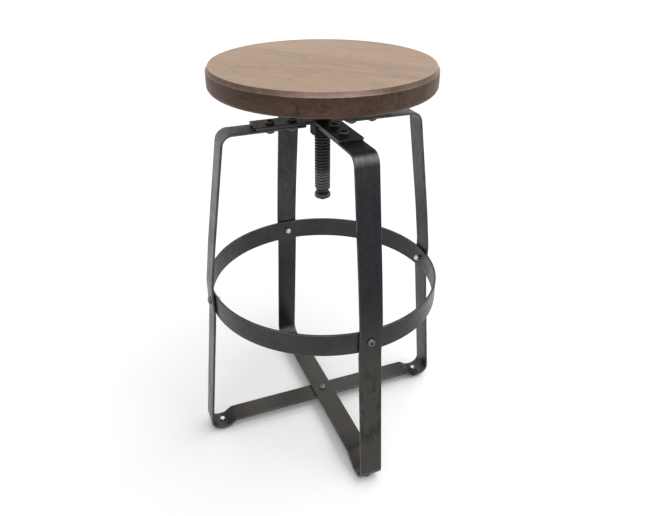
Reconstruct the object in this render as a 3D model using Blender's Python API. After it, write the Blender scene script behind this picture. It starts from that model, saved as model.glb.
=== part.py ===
# Backless stool: a round wooden seat on a lifting screw, over two bent flat-bar frames.
# Metres, +Z up. The origin is on the floor, under the screw's axis.
# The left leg is at -X, the right at +X, the front at -Y and the rear at +Y.

import math

import bmesh
import bpy
from mathutils import Matrix, Vector

# Gaps and clearances
FIT_GAP = 0.0003
HOLE_CLEARANCE = 0.0004
THREAD_CLEARANCE = 0.0004

# Seat board
SEAT_DIAMETER = 0.353
SEAT_THICKNESS = 0.0365
SEAT_COVE_DEPTH = 0.0034
SEAT_COVE_DROP = 0.0068
SEAT_LEDGE = 0.0006
SEAT_LOWER_ROUND = 0.009

# Steel flange under the seat, with its turned boss
FLANGE_DIAMETER = 0.150
FLANGE_THICKNESS = 0.004
FLANGE_SCREW_RADIUS = 0.055
BOSS_DIAMETER = 0.040
BOSS_HEIGHT = 0.014
SOCKET_DEPTH = 0.013

# Wood screws
WOOD_SCREW_DIAMETER = 0.005
WOOD_SCREW_HEAD_DIAMETER = 0.010
WOOD_SCREW_HEAD_HEIGHT = 0.003
WOOD_SCREW_BITE = 0.022

# Lifting screw: trapezoidal thread, right hand
SCREW_DIAMETER = 0.026
SCREW_PITCH = 0.005
THREAD_DEPTH = 0.0027
THREAD_CREST = 0.0017
THREAD_FLANK = 0.0007
TURNS_DOWN = 6
TURNS_UP = 20.2
NECK_LENGTH = 0.006
STOP_HEIGHT = 0.009
STOP_DIAMETER = 0.027
STOP_ROUND = 0.003
STOP_BORE_DIAMETER = 0.013
STOP_SCREW_DIAMETER = 0.006
STOP_SCREW_LENGTH = 0.016

# Hub
FRAME_HEIGHT = 0.583
HUB_PLATE_THICKNESS = 0.0045
HUB_PLATE_WIDTH = 0.040
HUB_PLATE_REACH = 0.1145
HUB_PLATE_CORNER = 0.004
HUB_NUT_FLATS = 0.035
HUB_NUT_HEIGHT = 0.023
HUB_NUT_CHAMFER = 0.0035
HUB_NUT_TURN = 8
ARM_END_GAP = 0.0139
HUB_BOLT_INNER = 0.0505
HUB_BOLT_OUTER = 0.087

# Flat bar of the two frames
STRAP_WIDTH = 0.039
STRAP_THICKNESS = 0.004
ARM_CORNER_RADIUS = 0.1665
ARM_BEND = 0.018
BOW_ABOVE_RING = 0.105
BOW_INSET = 0.0097
BOW_BEND = 0.900
LAND_ABOVE_RING = 0.030
KINK_BEND = 0.130
LAND_BELOW_RING = 0.024
LAND_BEND = 0.080
FOOT_CORNER_RADIUS = 0.2315
FOOT_BEND = 0.018
JOGGLE_INSET = 0.0317
JOGGLE_RISE = 0.0104
JOGGLE_RUN_X = 1.4
JOGGLE_RUN_Y = 2.0
JOGGLE_BEND = 0.006

# Foot ring
RING_DIAMETER = 0.4048
RING_WIDTH = 0.039
RING_THICKNESS = 0.004
RING_MID_HEIGHT = 0.2893

# Glides
GLIDE_DIAMETER = 0.022
GLIDE_HEIGHT = 0.007
GLIDE_ROUND = 0.001
GLIDE_INSET = 0.0235
GLIDE_RECESS_DIAMETER = 0.0115
GLIDE_RECESS_DEPTH = 0.0025

# Fasteners: shank, head, socket, nut
M8_SHANK = 0.008
M8_HEAD = 0.014
M8_HEAD_HEIGHT = 0.0044
M8_SOCKET = 0.005
M8_NUT_FLATS = 0.013
M8_NUT_HEIGHT = 0.0065
M6_SHANK = 0.006
M6_HEAD = 0.014
M6_HEAD_HEIGHT = 0.0038
M6_SOCKET = 0.004
M6_NUT_FLATS = 0.010
M6_NUT_HEIGHT = 0.005
M6_DOME_HEIGHT = 0.004
M5_SHANK = 0.005
M5_HEAD = 0.0095
M5_HEAD_HEIGHT = 0.0018
M5_NUT_FLATS = 0.008
M5_NUT_HEIGHT = 0.0037
BOLT_TAIL = 0.0015

# Facets round each kind of piece
SEAT_FACETS = 64
SEAT_EDGE_STEPS = 3
RING_FACETS = 72
PLATE_FACETS = 36
ROD_FACETS = 14
TURNED_FACETS = 20
SMALL_FACETS = 12
HOLE_FACETS = 12

# Heights that follow, from the floor up
FOOT_MID = GLIDE_HEIGHT + FIT_GAP + STRAP_THICKNESS / 2
FOOT_TOP = FOOT_MID + STRAP_THICKNESS / 2
CROSS_MID_X = FOOT_MID + JOGGLE_RISE
CROSS_MID_Y = CROSS_MID_X + STRAP_THICKNESS + FIT_GAP
BOW_HEIGHT = RING_MID_HEIGHT + BOW_ABOVE_RING
KINK_HEIGHT = RING_MID_HEIGHT + LAND_ABOVE_RING
LAND_LOW_HEIGHT = RING_MID_HEIGHT - LAND_BELOW_RING
ARM_MID = FRAME_HEIGHT - STRAP_THICKNESS / 2
ARM_BOTTOM = FRAME_HEIGHT - STRAP_THICKNESS
HUB_PLATE_BOTTOM = FRAME_HEIGHT + FIT_GAP
HUB_PLATE_TOP = HUB_PLATE_BOTTOM + HUB_PLATE_THICKNESS
HUB_NUT_TOP = HUB_PLATE_BOTTOM - FIT_GAP
HUB_NUT_BOTTOM = HUB_NUT_TOP - HUB_NUT_HEIGHT
BOSS_BOTTOM = HUB_PLATE_TOP + FIT_GAP + TURNS_DOWN * SCREW_PITCH
FLANGE_BOTTOM = BOSS_BOTTOM + BOSS_HEIGHT
FLANGE_TOP = FLANGE_BOTTOM + FLANGE_THICKNESS
SEAT_BOTTOM = FLANGE_TOP + FIT_GAP
SEAT_TOP = SEAT_BOTTOM + SEAT_THICKNESS
STOP_TOP = HUB_NUT_BOTTOM - FIT_GAP - TURNS_UP * SCREW_PITCH
STOP_BOTTOM = STOP_TOP - STOP_HEIGHT
THREAD_BOTTOM = STOP_TOP + NECK_LENGTH
THREAD_TOP = BOSS_BOTTOM - FIT_GAP

# Radii that follow
ROD_RADIUS = SCREW_DIAMETER / 2
CORE_RADIUS = ROD_RADIUS - THREAD_DEPTH
PIN_RADIUS = STOP_BORE_DIAMETER / 2 - HOLE_CLEARANCE
ARM_END_RADIUS = HUB_NUT_FLATS / math.sqrt(3) + ARM_END_GAP
RING_RADIUS = RING_DIAMETER / 2
LAND_MID_RADIUS = RING_RADIUS + FIT_GAP + STRAP_THICKNESS / 2
LEG_FACE_RADIUS = LAND_MID_RADIUS + STRAP_THICKNESS / 2
BOW_RADIUS = LAND_MID_RADIUS - BOW_INSET
RING_INNER_RADIUS = RING_RADIUS - RING_THICKNESS
GLIDE_RADIUS = FOOT_CORNER_RADIUS - GLIDE_INSET
JOGGLE_RADIUS = FOOT_CORNER_RADIUS - JOGGLE_INSET

# The four legs: name and direction from the axis
LEGS = {
    "left": Vector((-1, 0, 0)),
    "right": Vector((1, 0, 0)),
    "front": Vector((0, -1, 0)),
    "rear": Vector((0, 1, 0)),
}

for old in list(bpy.data.objects):
    bpy.data.objects.remove(old, do_unlink=True)


def make_material(name, colour, roughness, metallic):
    material = bpy.data.materials.new(name)
    material.use_nodes = True
    shader = material.node_tree.nodes["Principled BSDF"]
    shader.inputs["Base Color"].default_value = (*colour, 1)
    shader.inputs["Roughness"].default_value = roughness
    shader.inputs["Metallic"].default_value = metallic
    return material


WOOD = make_material("brown_wood", (0.235, 0.150, 0.098), 0.55, 0.0)
DARK_STEEL = make_material("dark_steel", (0.055, 0.056, 0.060), 0.45, 0.9)
SCREW_STEEL = make_material("screw_steel", (0.085, 0.085, 0.090), 0.35, 0.9)
BLACK_BOLT = make_material("black_bolt", (0.030, 0.030, 0.032), 0.40, 0.9)
BRIGHT_STEEL = make_material("bright_steel", (0.62, 0.62, 0.64), 0.25, 1.0)
GLIDE_NYLON = make_material("glide_nylon", (0.018, 0.018, 0.020), 0.65, 0.0)


def place(name, bm, material, parent=None, smooth_angle=35):
    bmesh.ops.recalc_face_normals(bm, faces=bm.faces)
    mesh = bpy.data.meshes.new(name)
    bm.to_mesh(mesh)
    bm.free()
    obj = bpy.data.objects.new(name, mesh)
    bpy.context.scene.collection.objects.link(obj)
    if material:
        mesh.materials.append(material)
    mesh.shade_smooth()
    mesh.set_sharp_from_angle(angle=math.radians(smooth_angle))
    if parent:
        obj.parent = parent
        obj.matrix_parent_inverse = Matrix.Translation(parent.location).inverted()
    return obj


def turned(profile, facets):
    # Profile points (radius, height) turned about Z; a closed loop unless both ends are on the axis.
    bm = bmesh.new()
    rows = []
    for radius, height in profile:
        if radius < 1e-9:
            rows.append([bm.verts.new((0, 0, height))])
            continue
        row = []
        for i in range(facets):
            angle = 2 * math.pi * i / facets
            row.append(bm.verts.new((radius * math.cos(angle), radius * math.sin(angle), height)))
        rows.append(row)
    pairs = list(zip(rows, rows[1:]))
    if len(rows[0]) > 1:
        pairs.append((rows[-1], rows[0]))
    for low, high in pairs:
        for i in range(facets):
            k = (i + 1) % facets
            corners = [low[i % len(low)], low[k % len(low)], high[k % len(high)], high[i % len(high)]]
            corners = [v for n, v in enumerate(corners) if v not in corners[:n]]
            if len(corners) > 2:
                bm.faces.new(corners)
    return bm


def prism(outline, low, high):
    bm = bmesh.new()
    bottom = [bm.verts.new((x, y, low)) for x, y in outline]
    top = [bm.verts.new((x, y, high)) for x, y in outline]
    bm.faces.new(bottom[::-1])
    bm.faces.new(top)
    for i in range(len(outline)):
        k = (i + 1) % len(outline)
        bm.faces.new((bottom[i], bottom[k], top[k], top[i]))
    return bm


def rod_between(start, end, radius, facets):
    # Plain round bar between two points.
    start = Vector(start)
    along = Vector(end) - start
    bm = turned([(0, 0), (radius, 0), (radius, along.length), (0, along.length)], facets)
    bm.transform(Matrix.Translation(start) @ along.to_track_quat("Z", "Y").to_matrix().to_4x4())
    return bm


def combine(obj, tools, operation):
    # Applies one Boolean with several tool meshes, and removes the tools.
    for tool in tools:
        cutter = place("tool", tool, None)
        modifier = obj.modifiers.new("shape", "BOOLEAN")
        modifier.operation = operation
        modifier.solver = "EXACT"
        modifier.object = cutter
        bpy.context.view_layer.update()
        evaluated = obj.evaluated_get(bpy.context.evaluated_depsgraph_get())
        shaped = bpy.data.meshes.new_from_object(evaluated)
        obj.modifiers.clear()
        before = obj.data
        obj.data = shaped
        shaped.name = obj.name
        bpy.data.meshes.remove(before)
        bpy.data.objects.remove(cutter, do_unlink=True)
    tidy = bmesh.new()
    tidy.from_mesh(obj.data)
    bmesh.ops.remove_doubles(tidy, verts=tidy.verts, dist=0.000002)
    bmesh.ops.dissolve_degenerate(tidy, edges=tidy.edges, dist=0.000002)
    tidy.to_mesh(obj.data)
    tidy.free()
    obj.data.shade_smooth()
    obj.data.set_sharp_from_angle(angle=math.radians(35))
    return obj


def hexagon(flats):
    corner = flats / math.sqrt(3)
    return [(corner * math.cos(math.radians(60 * i)), corner * math.sin(math.radians(60 * i))) for i in range(6)]


def stand(bm, foot, along):
    # Moves a piece made along +Z so that it starts at foot and points along a direction.
    turn = Vector(along).to_track_quat("Z", "Y").to_matrix().to_4x4()
    bm.transform(Matrix.Translation(Vector(foot)) @ turn)
    return bm


# Flat bar

def rounded_path(corners):
    # Corners (x, z, bend radius) of a strap's middle line; returns points (x, z) with each bend as an arc.
    points = [Vector(corners[0][:2])]
    for before, here, after in zip(corners, corners[1:], corners[2:]):
        middle = Vector(here[:2])
        back = (Vector(before[:2]) - middle).normalized()
        ahead = (Vector(after[:2]) - middle).normalized()
        turn = math.pi - back.angle(ahead)
        reach = here[2] * math.tan(turn / 2)
        first = middle + back * reach
        centre = middle + (back + ahead).normalized() * (here[2] / math.cos(turn / 2))
        steps = max(2, round(math.degrees(turn) / 13))
        arm = first - centre
        sense = 1 if back.x * ahead.y - back.y * ahead.x < 0 else -1
        for i in range(steps + 1):
            spun = Matrix.Rotation(sense * turn * i / steps, 2) @ arm
            points.append(centre + spun)
    points.append(Vector(corners[-1][:2]))
    return points


def bent_strap(points):
    # Strap of STRAP_WIDTH by STRAP_THICKNESS along a path in the XZ plane.
    bm = bmesh.new()
    rows = []
    half = STRAP_THICKNESS / 2
    side = STRAP_WIDTH / 2
    last = len(points) - 1
    for i, point in enumerate(points):
        into = (point - points[i - 1]).normalized() if i else (points[1] - point).normalized()
        out = (points[i + 1] - point).normalized() if i < last else into
        along = (into + out).normalized()
        normal = Vector((-along.y, along.x)) * (half / along.dot(into))
        row = []
        for across, face in ((-side, -1), (side, -1), (side, 1), (-side, 1)):
            edge = point + normal * face
            row.append(bm.verts.new((edge.x, across, edge.y)))
        rows.append(row)
    for one, two in zip(rows, rows[1:]):
        for i in range(4):
            k = (i + 1) % 4
            bm.faces.new((one[i], one[k], two[k], two[i]))
    bm.faces.new(rows[0][::-1])
    bm.faces.new(rows[-1])
    return bm


def frame_path(cross_mid, joggle_run):
    rise = cross_mid - FOOT_MID
    half = [
        (ARM_END_RADIUS, ARM_MID, 0),
        (ARM_CORNER_RADIUS, ARM_MID, ARM_BEND),
        (BOW_RADIUS, BOW_HEIGHT, BOW_BEND),
        (LAND_MID_RADIUS, KINK_HEIGHT, KINK_BEND),
        (LAND_MID_RADIUS, LAND_LOW_HEIGHT, LAND_BEND),
        (FOOT_CORNER_RADIUS, FOOT_MID, FOOT_BEND),
        (JOGGLE_RADIUS, FOOT_MID, JOGGLE_BEND),
        (JOGGLE_RADIUS - joggle_run * rise, cross_mid, JOGGLE_BEND),
    ]
    mirrored = [(-x, z, bend) for x, z, bend in half[::-1]]
    return rounded_path(half + mirrored)


def make_frame(name, directions, cross_mid, joggle_run, turn):
    bm = bent_strap(frame_path(cross_mid, joggle_run))
    bm.transform(Matrix.Rotation(turn, 4, "Z"))
    frame = place(name, bm, DARK_STEEL)
    bolt = M8_SHANK / 2 + HOLE_CLEARANCE
    thin = M6_SHANK / 2 + HOLE_CLEARANCE
    small = M5_SHANK / 2 + HOLE_CLEARANCE
    depth = 2 * STRAP_THICKNESS
    up = Vector((0, 0, 1))
    tools = []
    for out in directions:
        for radius in (HUB_BOLT_INNER, HUB_BOLT_OUTER):
            middle = out * radius + up * ARM_MID
            tools.append(rod_between(middle - up * depth, middle + up * depth, bolt, HOLE_FACETS))
        middle = out * LAND_MID_RADIUS + up * RING_MID_HEIGHT
        tools.append(rod_between(middle - out * depth, middle + out * depth, thin, HOLE_FACETS))
        middle = out * GLIDE_RADIUS + up * FOOT_MID
        tools.append(rod_between(middle - up * depth, middle + up * depth, small, HOLE_FACETS))
    middle = up * cross_mid
    tools.append(rod_between(middle - up * depth, middle + up * depth, bolt, HOLE_FACETS))
    return combine(frame, tools, "DIFFERENCE")


make_frame("frame_x", [LEGS["left"], LEGS["right"]], CROSS_MID_X, JOGGLE_RUN_X, 0)
make_frame("frame_y", [LEGS["front"], LEGS["rear"]], CROSS_MID_Y, JOGGLE_RUN_Y, math.pi / 2)


# Foot ring

ring_low = RING_MID_HEIGHT - RING_WIDTH / 2
ring_high = RING_MID_HEIGHT + RING_WIDTH / 2
ring = place(
    "foot_ring",
    turned(
        [
            (RING_RADIUS, ring_high),
            (RING_RADIUS, ring_low),
            (RING_INNER_RADIUS, ring_low),
            (RING_INNER_RADIUS, ring_high),
        ],
        RING_FACETS,
    ),
    DARK_STEEL,
)
ring_holes = []
for out in LEGS.values():
    middle = out * (RING_RADIUS - RING_THICKNESS / 2) + Vector((0, 0, RING_MID_HEIGHT))
    reach = out * 2 * RING_THICKNESS
    ring_holes.append(rod_between(middle - reach, middle + reach, M6_SHANK / 2 + HOLE_CLEARANCE, HOLE_FACETS))
combine(ring, ring_holes, "DIFFERENCE")


# Hub plate and hub nut

def cross_outline():
    half = HUB_PLATE_WIDTH / 2
    inner = half + HUB_PLATE_CORNER
    quarter = [
        (HUB_PLATE_REACH, -half),
        (HUB_PLATE_REACH, half),
        (inner, half),
    ]
    centre = Vector((inner, inner))
    for step in (1, 2):
        angle = math.radians(270 - 30 * step)
        quarter.append(tuple(centre + Vector((math.cos(angle), math.sin(angle))) * HUB_PLATE_CORNER))
    quarter.append((half, inner))
    outline = []
    for turn in range(4):
        spin = Matrix.Rotation(math.pi / 2 * turn, 2)
        outline += [tuple(spin @ Vector(point)) for point in quarter]
    return outline


hub_plate = place("hub_plate", prism(cross_outline(), HUB_PLATE_BOTTOM, HUB_PLATE_TOP), DARK_STEEL)
plate_middle = Vector((0, 0, (HUB_PLATE_BOTTOM + HUB_PLATE_TOP) / 2))
plate_depth = Vector((0, 0, 2 * HUB_PLATE_THICKNESS))
plate_holes = [
    rod_between(
        plate_middle - plate_depth,
        plate_middle + plate_depth,
        ROD_RADIUS + THREAD_CLEARANCE,
        2 * HOLE_FACETS,
    )
]
for out in LEGS.values():
    for radius in (HUB_BOLT_INNER, HUB_BOLT_OUTER):
        middle = plate_middle + out * radius
        plate_holes.append(
            rod_between(middle - plate_depth, middle + plate_depth, M8_SHANK / 2 + HOLE_CLEARANCE, HOLE_FACETS)
        )
combine(hub_plate, plate_holes, "DIFFERENCE")


def helix_bar(core, crest, crest_width, low, high, facets):
    # Right-hand trapezoidal thread about Z from about low to high, closed at both ends.
    # Point n of profile point j: angle 2 pi n / facets, height low + pitch n / facets + offset j.
    bm = bmesh.new()
    root_width = SCREW_PITCH - crest_width - 2 * THREAD_FLANK
    profile = [
        (core, 0),
        (core, root_width),
        (crest, root_width + THREAD_FLANK),
        (crest, root_width + THREAD_FLANK + crest_width),
    ]
    count = math.ceil((high - low) / SCREW_PITCH) * facets
    shift = -root_width / 2
    grid = []
    for n in range(count + 1):
        angle = 2 * math.pi * n / facets
        rise = low + SCREW_PITCH * n / facets + shift
        grid.append([bm.verts.new((r * math.cos(angle), r * math.sin(angle), rise + dz)) for r, dz in profile])
    for n in range(count):
        for j in range(3):
            bm.faces.new((grid[n][j], grid[n + 1][j], grid[n + 1][j + 1], grid[n][j + 1]))
        if n + 1 + facets <= count:
            bm.faces.new((grid[n][3], grid[n + 1][3], grid[n + 1 + facets][0], grid[n + facets][0]))
    start = [grid[n][0] for n in range(facets + 1)] + [grid[0][j] for j in (3, 2, 1)]
    end = [grid[n][3] for n in range(count - facets, count + 1)] + [grid[count][j] for j in (2, 1, 0)]
    for loop, height in ((start, low + SCREW_PITCH / 2), (end, high + SCREW_PITCH / 2)):
        hub = bm.verts.new((0, 0, height))
        for i, vert in enumerate(loop):
            bm.faces.new((hub, vert, loop[(i + 1) % len(loop)]))
    return bm


hub_nut_blank = prism(hexagon(HUB_NUT_FLATS), HUB_NUT_BOTTOM, HUB_NUT_TOP)
hub_nut_blank.transform(Matrix.Rotation(math.radians(HUB_NUT_TURN), 4, "Z"))
hub_nut = place("hub_nut", hub_nut_blank, SCREW_STEEL)
nut_corner = HUB_NUT_FLATS / math.sqrt(3)
chamfer_rise = HUB_NUT_CHAMFER * 0.55
nut_turning = turned(
    [
        (0, HUB_NUT_TOP + HUB_NUT_HEIGHT / 10),
        (nut_corner * 1.1, HUB_NUT_TOP + HUB_NUT_HEIGHT / 10),
        (nut_corner * 1.1, HUB_NUT_BOTTOM + chamfer_rise * 1.8),
        (nut_corner - HUB_NUT_CHAMFER, HUB_NUT_BOTTOM),
        (nut_corner - HUB_NUT_CHAMFER, HUB_NUT_BOTTOM - HUB_NUT_HEIGHT / 10),
        (0, HUB_NUT_BOTTOM - HUB_NUT_HEIGHT / 10),
    ],
    2 * HOLE_FACETS,
)
combine(hub_nut, [nut_turning], "INTERSECT")
# The nut's thread is cut with a longer copy of the screw, wider by the running clearance.
thread_start = THREAD_BOTTOM - 2 * SCREW_PITCH
tap_turns = math.floor((HUB_NUT_BOTTOM - thread_start) / SCREW_PITCH) - 1
tap_low = thread_start + tap_turns * SCREW_PITCH
tap = helix_bar(
    CORE_RADIUS + THREAD_CLEARANCE,
    ROD_RADIUS + THREAD_CLEARANCE,
    THREAD_CREST + 2 * THREAD_CLEARANCE,
    tap_low,
    HUB_NUT_TOP + SCREW_PITCH,
    ROD_FACETS,
)
combine(hub_nut, [tap], "DIFFERENCE")


# Lifting screw: thread trimmed by a turned blank, with a spigot above and a pin below

screw_axis = bpy.data.objects.new("screw_axis", None)
screw_axis.location = (0, 0, SEAT_BOTTOM)
bpy.context.scene.collection.objects.link(screw_axis)

screw_rod = place(
    "screw_rod",
    helix_bar(CORE_RADIUS, ROD_RADIUS, THREAD_CREST, thread_start, THREAD_TOP + SCREW_PITCH, ROD_FACETS),
    SCREW_STEEL,
    screw_axis,
)
blank = turned(
    [
        (0, THREAD_TOP),
        (ROD_RADIUS * 1.05, THREAD_TOP),
        (ROD_RADIUS * 1.05, THREAD_BOTTOM + THREAD_DEPTH * 0.7),
        (CORE_RADIUS * 0.97, THREAD_BOTTOM),
        (0, THREAD_BOTTOM),
    ],
    2 * ROD_FACETS,
)
combine(screw_rod, [blank], "INTERSECT")
spigot = rod_between((0, 0, THREAD_TOP - SCREW_PITCH), (0, 0, BOSS_BOTTOM + SOCKET_DEPTH - FIT_GAP), CORE_RADIUS * 0.96, TURNED_FACETS)
pin_end = STOP_BOTTOM + FIT_GAP
pin = turned(
    [
        (0, THREAD_BOTTOM + SCREW_PITCH),
        (CORE_RADIUS * 0.94, THREAD_BOTTOM + SCREW_PITCH),
        (CORE_RADIUS * 0.94, STOP_TOP + FIT_GAP),
        (PIN_RADIUS, STOP_TOP + FIT_GAP),
        (PIN_RADIUS, pin_end),
        (0, pin_end),
    ],
    TURNED_FACETS,
)
combine(screw_rod, [spigot, pin], "UNION")
tapped_top = pin_end + STOP_SCREW_LENGTH
tapped = rod_between(
    (0, 0, pin_end - SCREW_PITCH),
    (0, 0, tapped_top),
    STOP_SCREW_DIAMETER / 2 + HOLE_CLEARANCE,
    HOLE_FACETS,
)
combine(screw_rod, [tapped], "DIFFERENCE")

stop_radius = STOP_DIAMETER / 2
stop_points = [(STOP_BORE_DIAMETER / 2, STOP_TOP), (stop_radius - STOP_ROUND / 3, STOP_TOP)]
stop_points.append((stop_radius, STOP_TOP - STOP_ROUND / 3))
for step in range(4):
    angle = math.radians(30 * step)
    stop_points.append(
        (
            stop_radius - STOP_ROUND + STOP_ROUND * math.cos(angle),
            STOP_BOTTOM + STOP_ROUND - STOP_ROUND * math.sin(angle),
        )
    )
stop_points.append((STOP_BORE_DIAMETER / 2, STOP_BOTTOM))
place("stop_cap", turned(stop_points, TURNED_FACETS), SCREW_STEEL, screw_axis)


# Fasteners

def button_screw(name, shank, head, head_height, socket, length, foot, along, material, parent=None):
    # Button head with a hex socket; foot is under the head, and the shank runs along the direction.
    top = head / 2
    points = [(0, length), (shank / 2, length), (shank / 2, 0), (top, 0)]
    for share, drop in ((1.0, 0.28), (0.86, 0.68), (0.55, 1.0)):
        points.append((top * share, -head_height * drop))
    points.append((0, -head_height))
    bm = stand(turned(points, SMALL_FACETS), foot, along)
    obj = place(name, bm, material, parent)
    recess = prism(hexagon(socket), -head_height * 1.5, -head_height * 0.42)
    return combine(obj, [stand(recess, foot, along)], "DIFFERENCE")


def hex_nut(name, flats, height, shank, foot, along, material, dome=0):
    # Nut standing at foot along a direction; a dome nut is closed at its far end.
    obj = place(name, stand(prism(hexagon(flats), 0, height), foot, along), material)
    if dome:
        wide = flats / 2 * 0.92
        cap = [(0, height * 0.5), (wide, height * 0.5), (wide, height + dome * 0.25)]
        cap += [(wide * 0.80, height + dome * 0.68), (wide * 0.42, height + dome * 0.94), (0, height + dome)]
        combine(obj, [stand(turned(cap, SMALL_FACETS), foot, along)], "UNION")
    bore_end = height + dome * 0.5 if dome else height * 2
    bore = rod_between((0, 0, -height), (0, 0, bore_end), shank / 2 + HOLE_CLEARANCE, HOLE_FACETS)
    return combine(obj, [stand(bore, foot, along)], "DIFFERENCE")


UP = Vector((0, 0, 1))
DOWN = Vector((0, 0, -1))

for leg, out in LEGS.items():
    for place_name, radius in (("inner", HUB_BOLT_INNER), ("outer", HUB_BOLT_OUTER)):
        head_seat = HUB_PLATE_TOP + FIT_GAP
        nut_seat = ARM_BOTTOM - FIT_GAP
        length = head_seat - nut_seat + M8_NUT_HEIGHT + BOLT_TAIL
        button_screw(
            f"hub_bolt_{leg}_{place_name}",
            M8_SHANK,
            M8_HEAD,
            M8_HEAD_HEIGHT,
            M8_SOCKET,
            length,
            out * radius + UP * head_seat,
            DOWN,
            BLACK_BOLT,
        )
        hex_nut(
            f"hub_bolt_nut_{leg}_{place_name}",
            M8_NUT_FLATS,
            M8_NUT_HEIGHT,
            M8_SHANK,
            out * radius + UP * nut_seat,
            DOWN,
            BLACK_BOLT,
        )

    ring_seat = LEG_FACE_RADIUS + FIT_GAP
    # The ring's inner face curves away from a flat nut by its sagitta across the nut's corner.
    nut_reach = M6_NUT_FLATS / math.sqrt(3)
    sagitta = RING_INNER_RADIUS - math.sqrt(RING_INNER_RADIUS**2 - nut_reach**2)
    ring_nut_seat = RING_INNER_RADIUS - sagitta - FIT_GAP
    ring_bolt_length = ring_seat - ring_nut_seat + M6_NUT_HEIGHT
    middle = UP * RING_MID_HEIGHT
    button_screw(
        f"ring_bolt_{leg}",
        M6_SHANK,
        M6_HEAD,
        M6_HEAD_HEIGHT,
        M6_SOCKET,
        ring_bolt_length,
        out * ring_seat + middle,
        -out,
        BLACK_BOLT,
    )
    hex_nut(
        f"ring_nut_{leg}",
        M6_NUT_FLATS,
        M6_NUT_HEIGHT,
        M6_SHANK,
        out * ring_nut_seat + middle,
        -out,
        BRIGHT_STEEL,
        M6_DOME_HEIGHT,
    )

    glide_hole = M5_SHANK / 2 + HOLE_CLEARANCE
    glide_edge = GLIDE_DIAMETER / 2
    recess_edge = GLIDE_RECESS_DIAMETER / 2
    glide = turned(
        [
            (glide_hole, GLIDE_HEIGHT),
            (glide_edge, GLIDE_HEIGHT),
            (glide_edge, GLIDE_ROUND),
            (glide_edge - GLIDE_ROUND, 0),
            (recess_edge, 0),
            (recess_edge, GLIDE_RECESS_DEPTH),
            (glide_hole, GLIDE_RECESS_DEPTH),
        ],
        TURNED_FACETS,
    )
    spot = out * GLIDE_RADIUS
    place(f"glide_{leg}", stand(glide, spot, UP), GLIDE_NYLON)
    screw_top = FOOT_TOP + FIT_GAP + M5_NUT_HEIGHT + BOLT_TAIL / 2
    screw_seat = GLIDE_RECESS_DEPTH - FIT_GAP
    glide_screw = turned(
        [
            (0, screw_seat - M5_HEAD_HEIGHT),
            (M5_HEAD / 2, screw_seat - M5_HEAD_HEIGHT),
            (M5_HEAD / 2, screw_seat),
            (M5_SHANK / 2, screw_seat),
            (M5_SHANK / 2, screw_top),
            (0, screw_top),
        ],
        SMALL_FACETS,
    )
    place(f"glide_screw_{leg}", stand(glide_screw, spot, UP), BRIGHT_STEEL)
    hex_nut(
        f"glide_nut_{leg}",
        M5_NUT_FLATS,
        M5_NUT_HEIGHT,
        M5_SHANK,
        spot + UP * (FOOT_TOP + FIT_GAP),
        UP,
        BRIGHT_STEEL,
    )

centre_seat = CROSS_MID_Y + STRAP_THICKNESS / 2 + FIT_GAP
centre_nut_seat = CROSS_MID_X - STRAP_THICKNESS / 2 - FIT_GAP
button_screw(
    "centre_bolt",
    M8_SHANK,
    M8_HEAD,
    M8_HEAD_HEIGHT,
    M8_SOCKET,
    centre_seat - centre_nut_seat + M8_NUT_HEIGHT + BOLT_TAIL,
    UP * centre_seat,
    DOWN,
    BLACK_BOLT,
)
hex_nut("centre_nut", M8_NUT_FLATS, M8_NUT_HEIGHT, M8_SHANK, UP * centre_nut_seat, DOWN, BLACK_BOLT)

button_screw(
    "stop_screw",
    STOP_SCREW_DIAMETER,
    STOP_BORE_DIAMETER,
    M6_HEAD_HEIGHT,
    M6_SOCKET,
    STOP_SCREW_LENGTH - FIT_GAP,
    UP * (STOP_BOTTOM - FIT_GAP),
    UP,
    BLACK_BOLT,
    screw_axis,
)


# Seat flange, wood screws and seat

socket_radius = CORE_RADIUS + HOLE_CLEARANCE
boss_radius = BOSS_DIAMETER / 2
seat_plate = place(
    "seat_plate",
    turned(
        [
            (0, FLANGE_TOP),
            (FLANGE_DIAMETER / 2, FLANGE_TOP),
            (FLANGE_DIAMETER / 2, FLANGE_BOTTOM),
            (boss_radius, FLANGE_BOTTOM),
            (boss_radius, BOSS_BOTTOM),
            (socket_radius, BOSS_BOTTOM),
            (socket_radius, BOSS_BOTTOM + SOCKET_DEPTH),
            (0, BOSS_BOTTOM + SOCKET_DEPTH),
        ],
        PLATE_FACETS,
    ),
    DARK_STEEL,
    screw_axis,
)

# A quarter-ellipse cove under the top edge ends on a narrow ledge; the lower edge is a quarter round.
seat_radius = SEAT_DIAMETER / 2
cove_points = []
round_points = []
for step in range(SEAT_EDGE_STEPS + 1):
    angle = math.radians(90 * step / SEAT_EDGE_STEPS)
    cove_points.append(
        (
            seat_radius - SEAT_LEDGE - SEAT_COVE_DEPTH * math.cos(angle),
            SEAT_TOP - SEAT_COVE_DROP * math.sin(angle),
        )
    )
    round_points.append(
        (
            seat_radius - SEAT_LOWER_ROUND + SEAT_LOWER_ROUND * math.cos(angle),
            SEAT_BOTTOM + SEAT_LOWER_ROUND - SEAT_LOWER_ROUND * math.sin(angle),
        )
    )
seat_points = [(0, SEAT_TOP)]
seat_points += cove_points
seat_points.append((seat_radius, SEAT_TOP - SEAT_COVE_DROP))
seat_points += round_points
seat_points.append((0, SEAT_BOTTOM))
seat = place("seat", turned(seat_points, SEAT_FACETS), WOOD, screw_axis)

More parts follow.
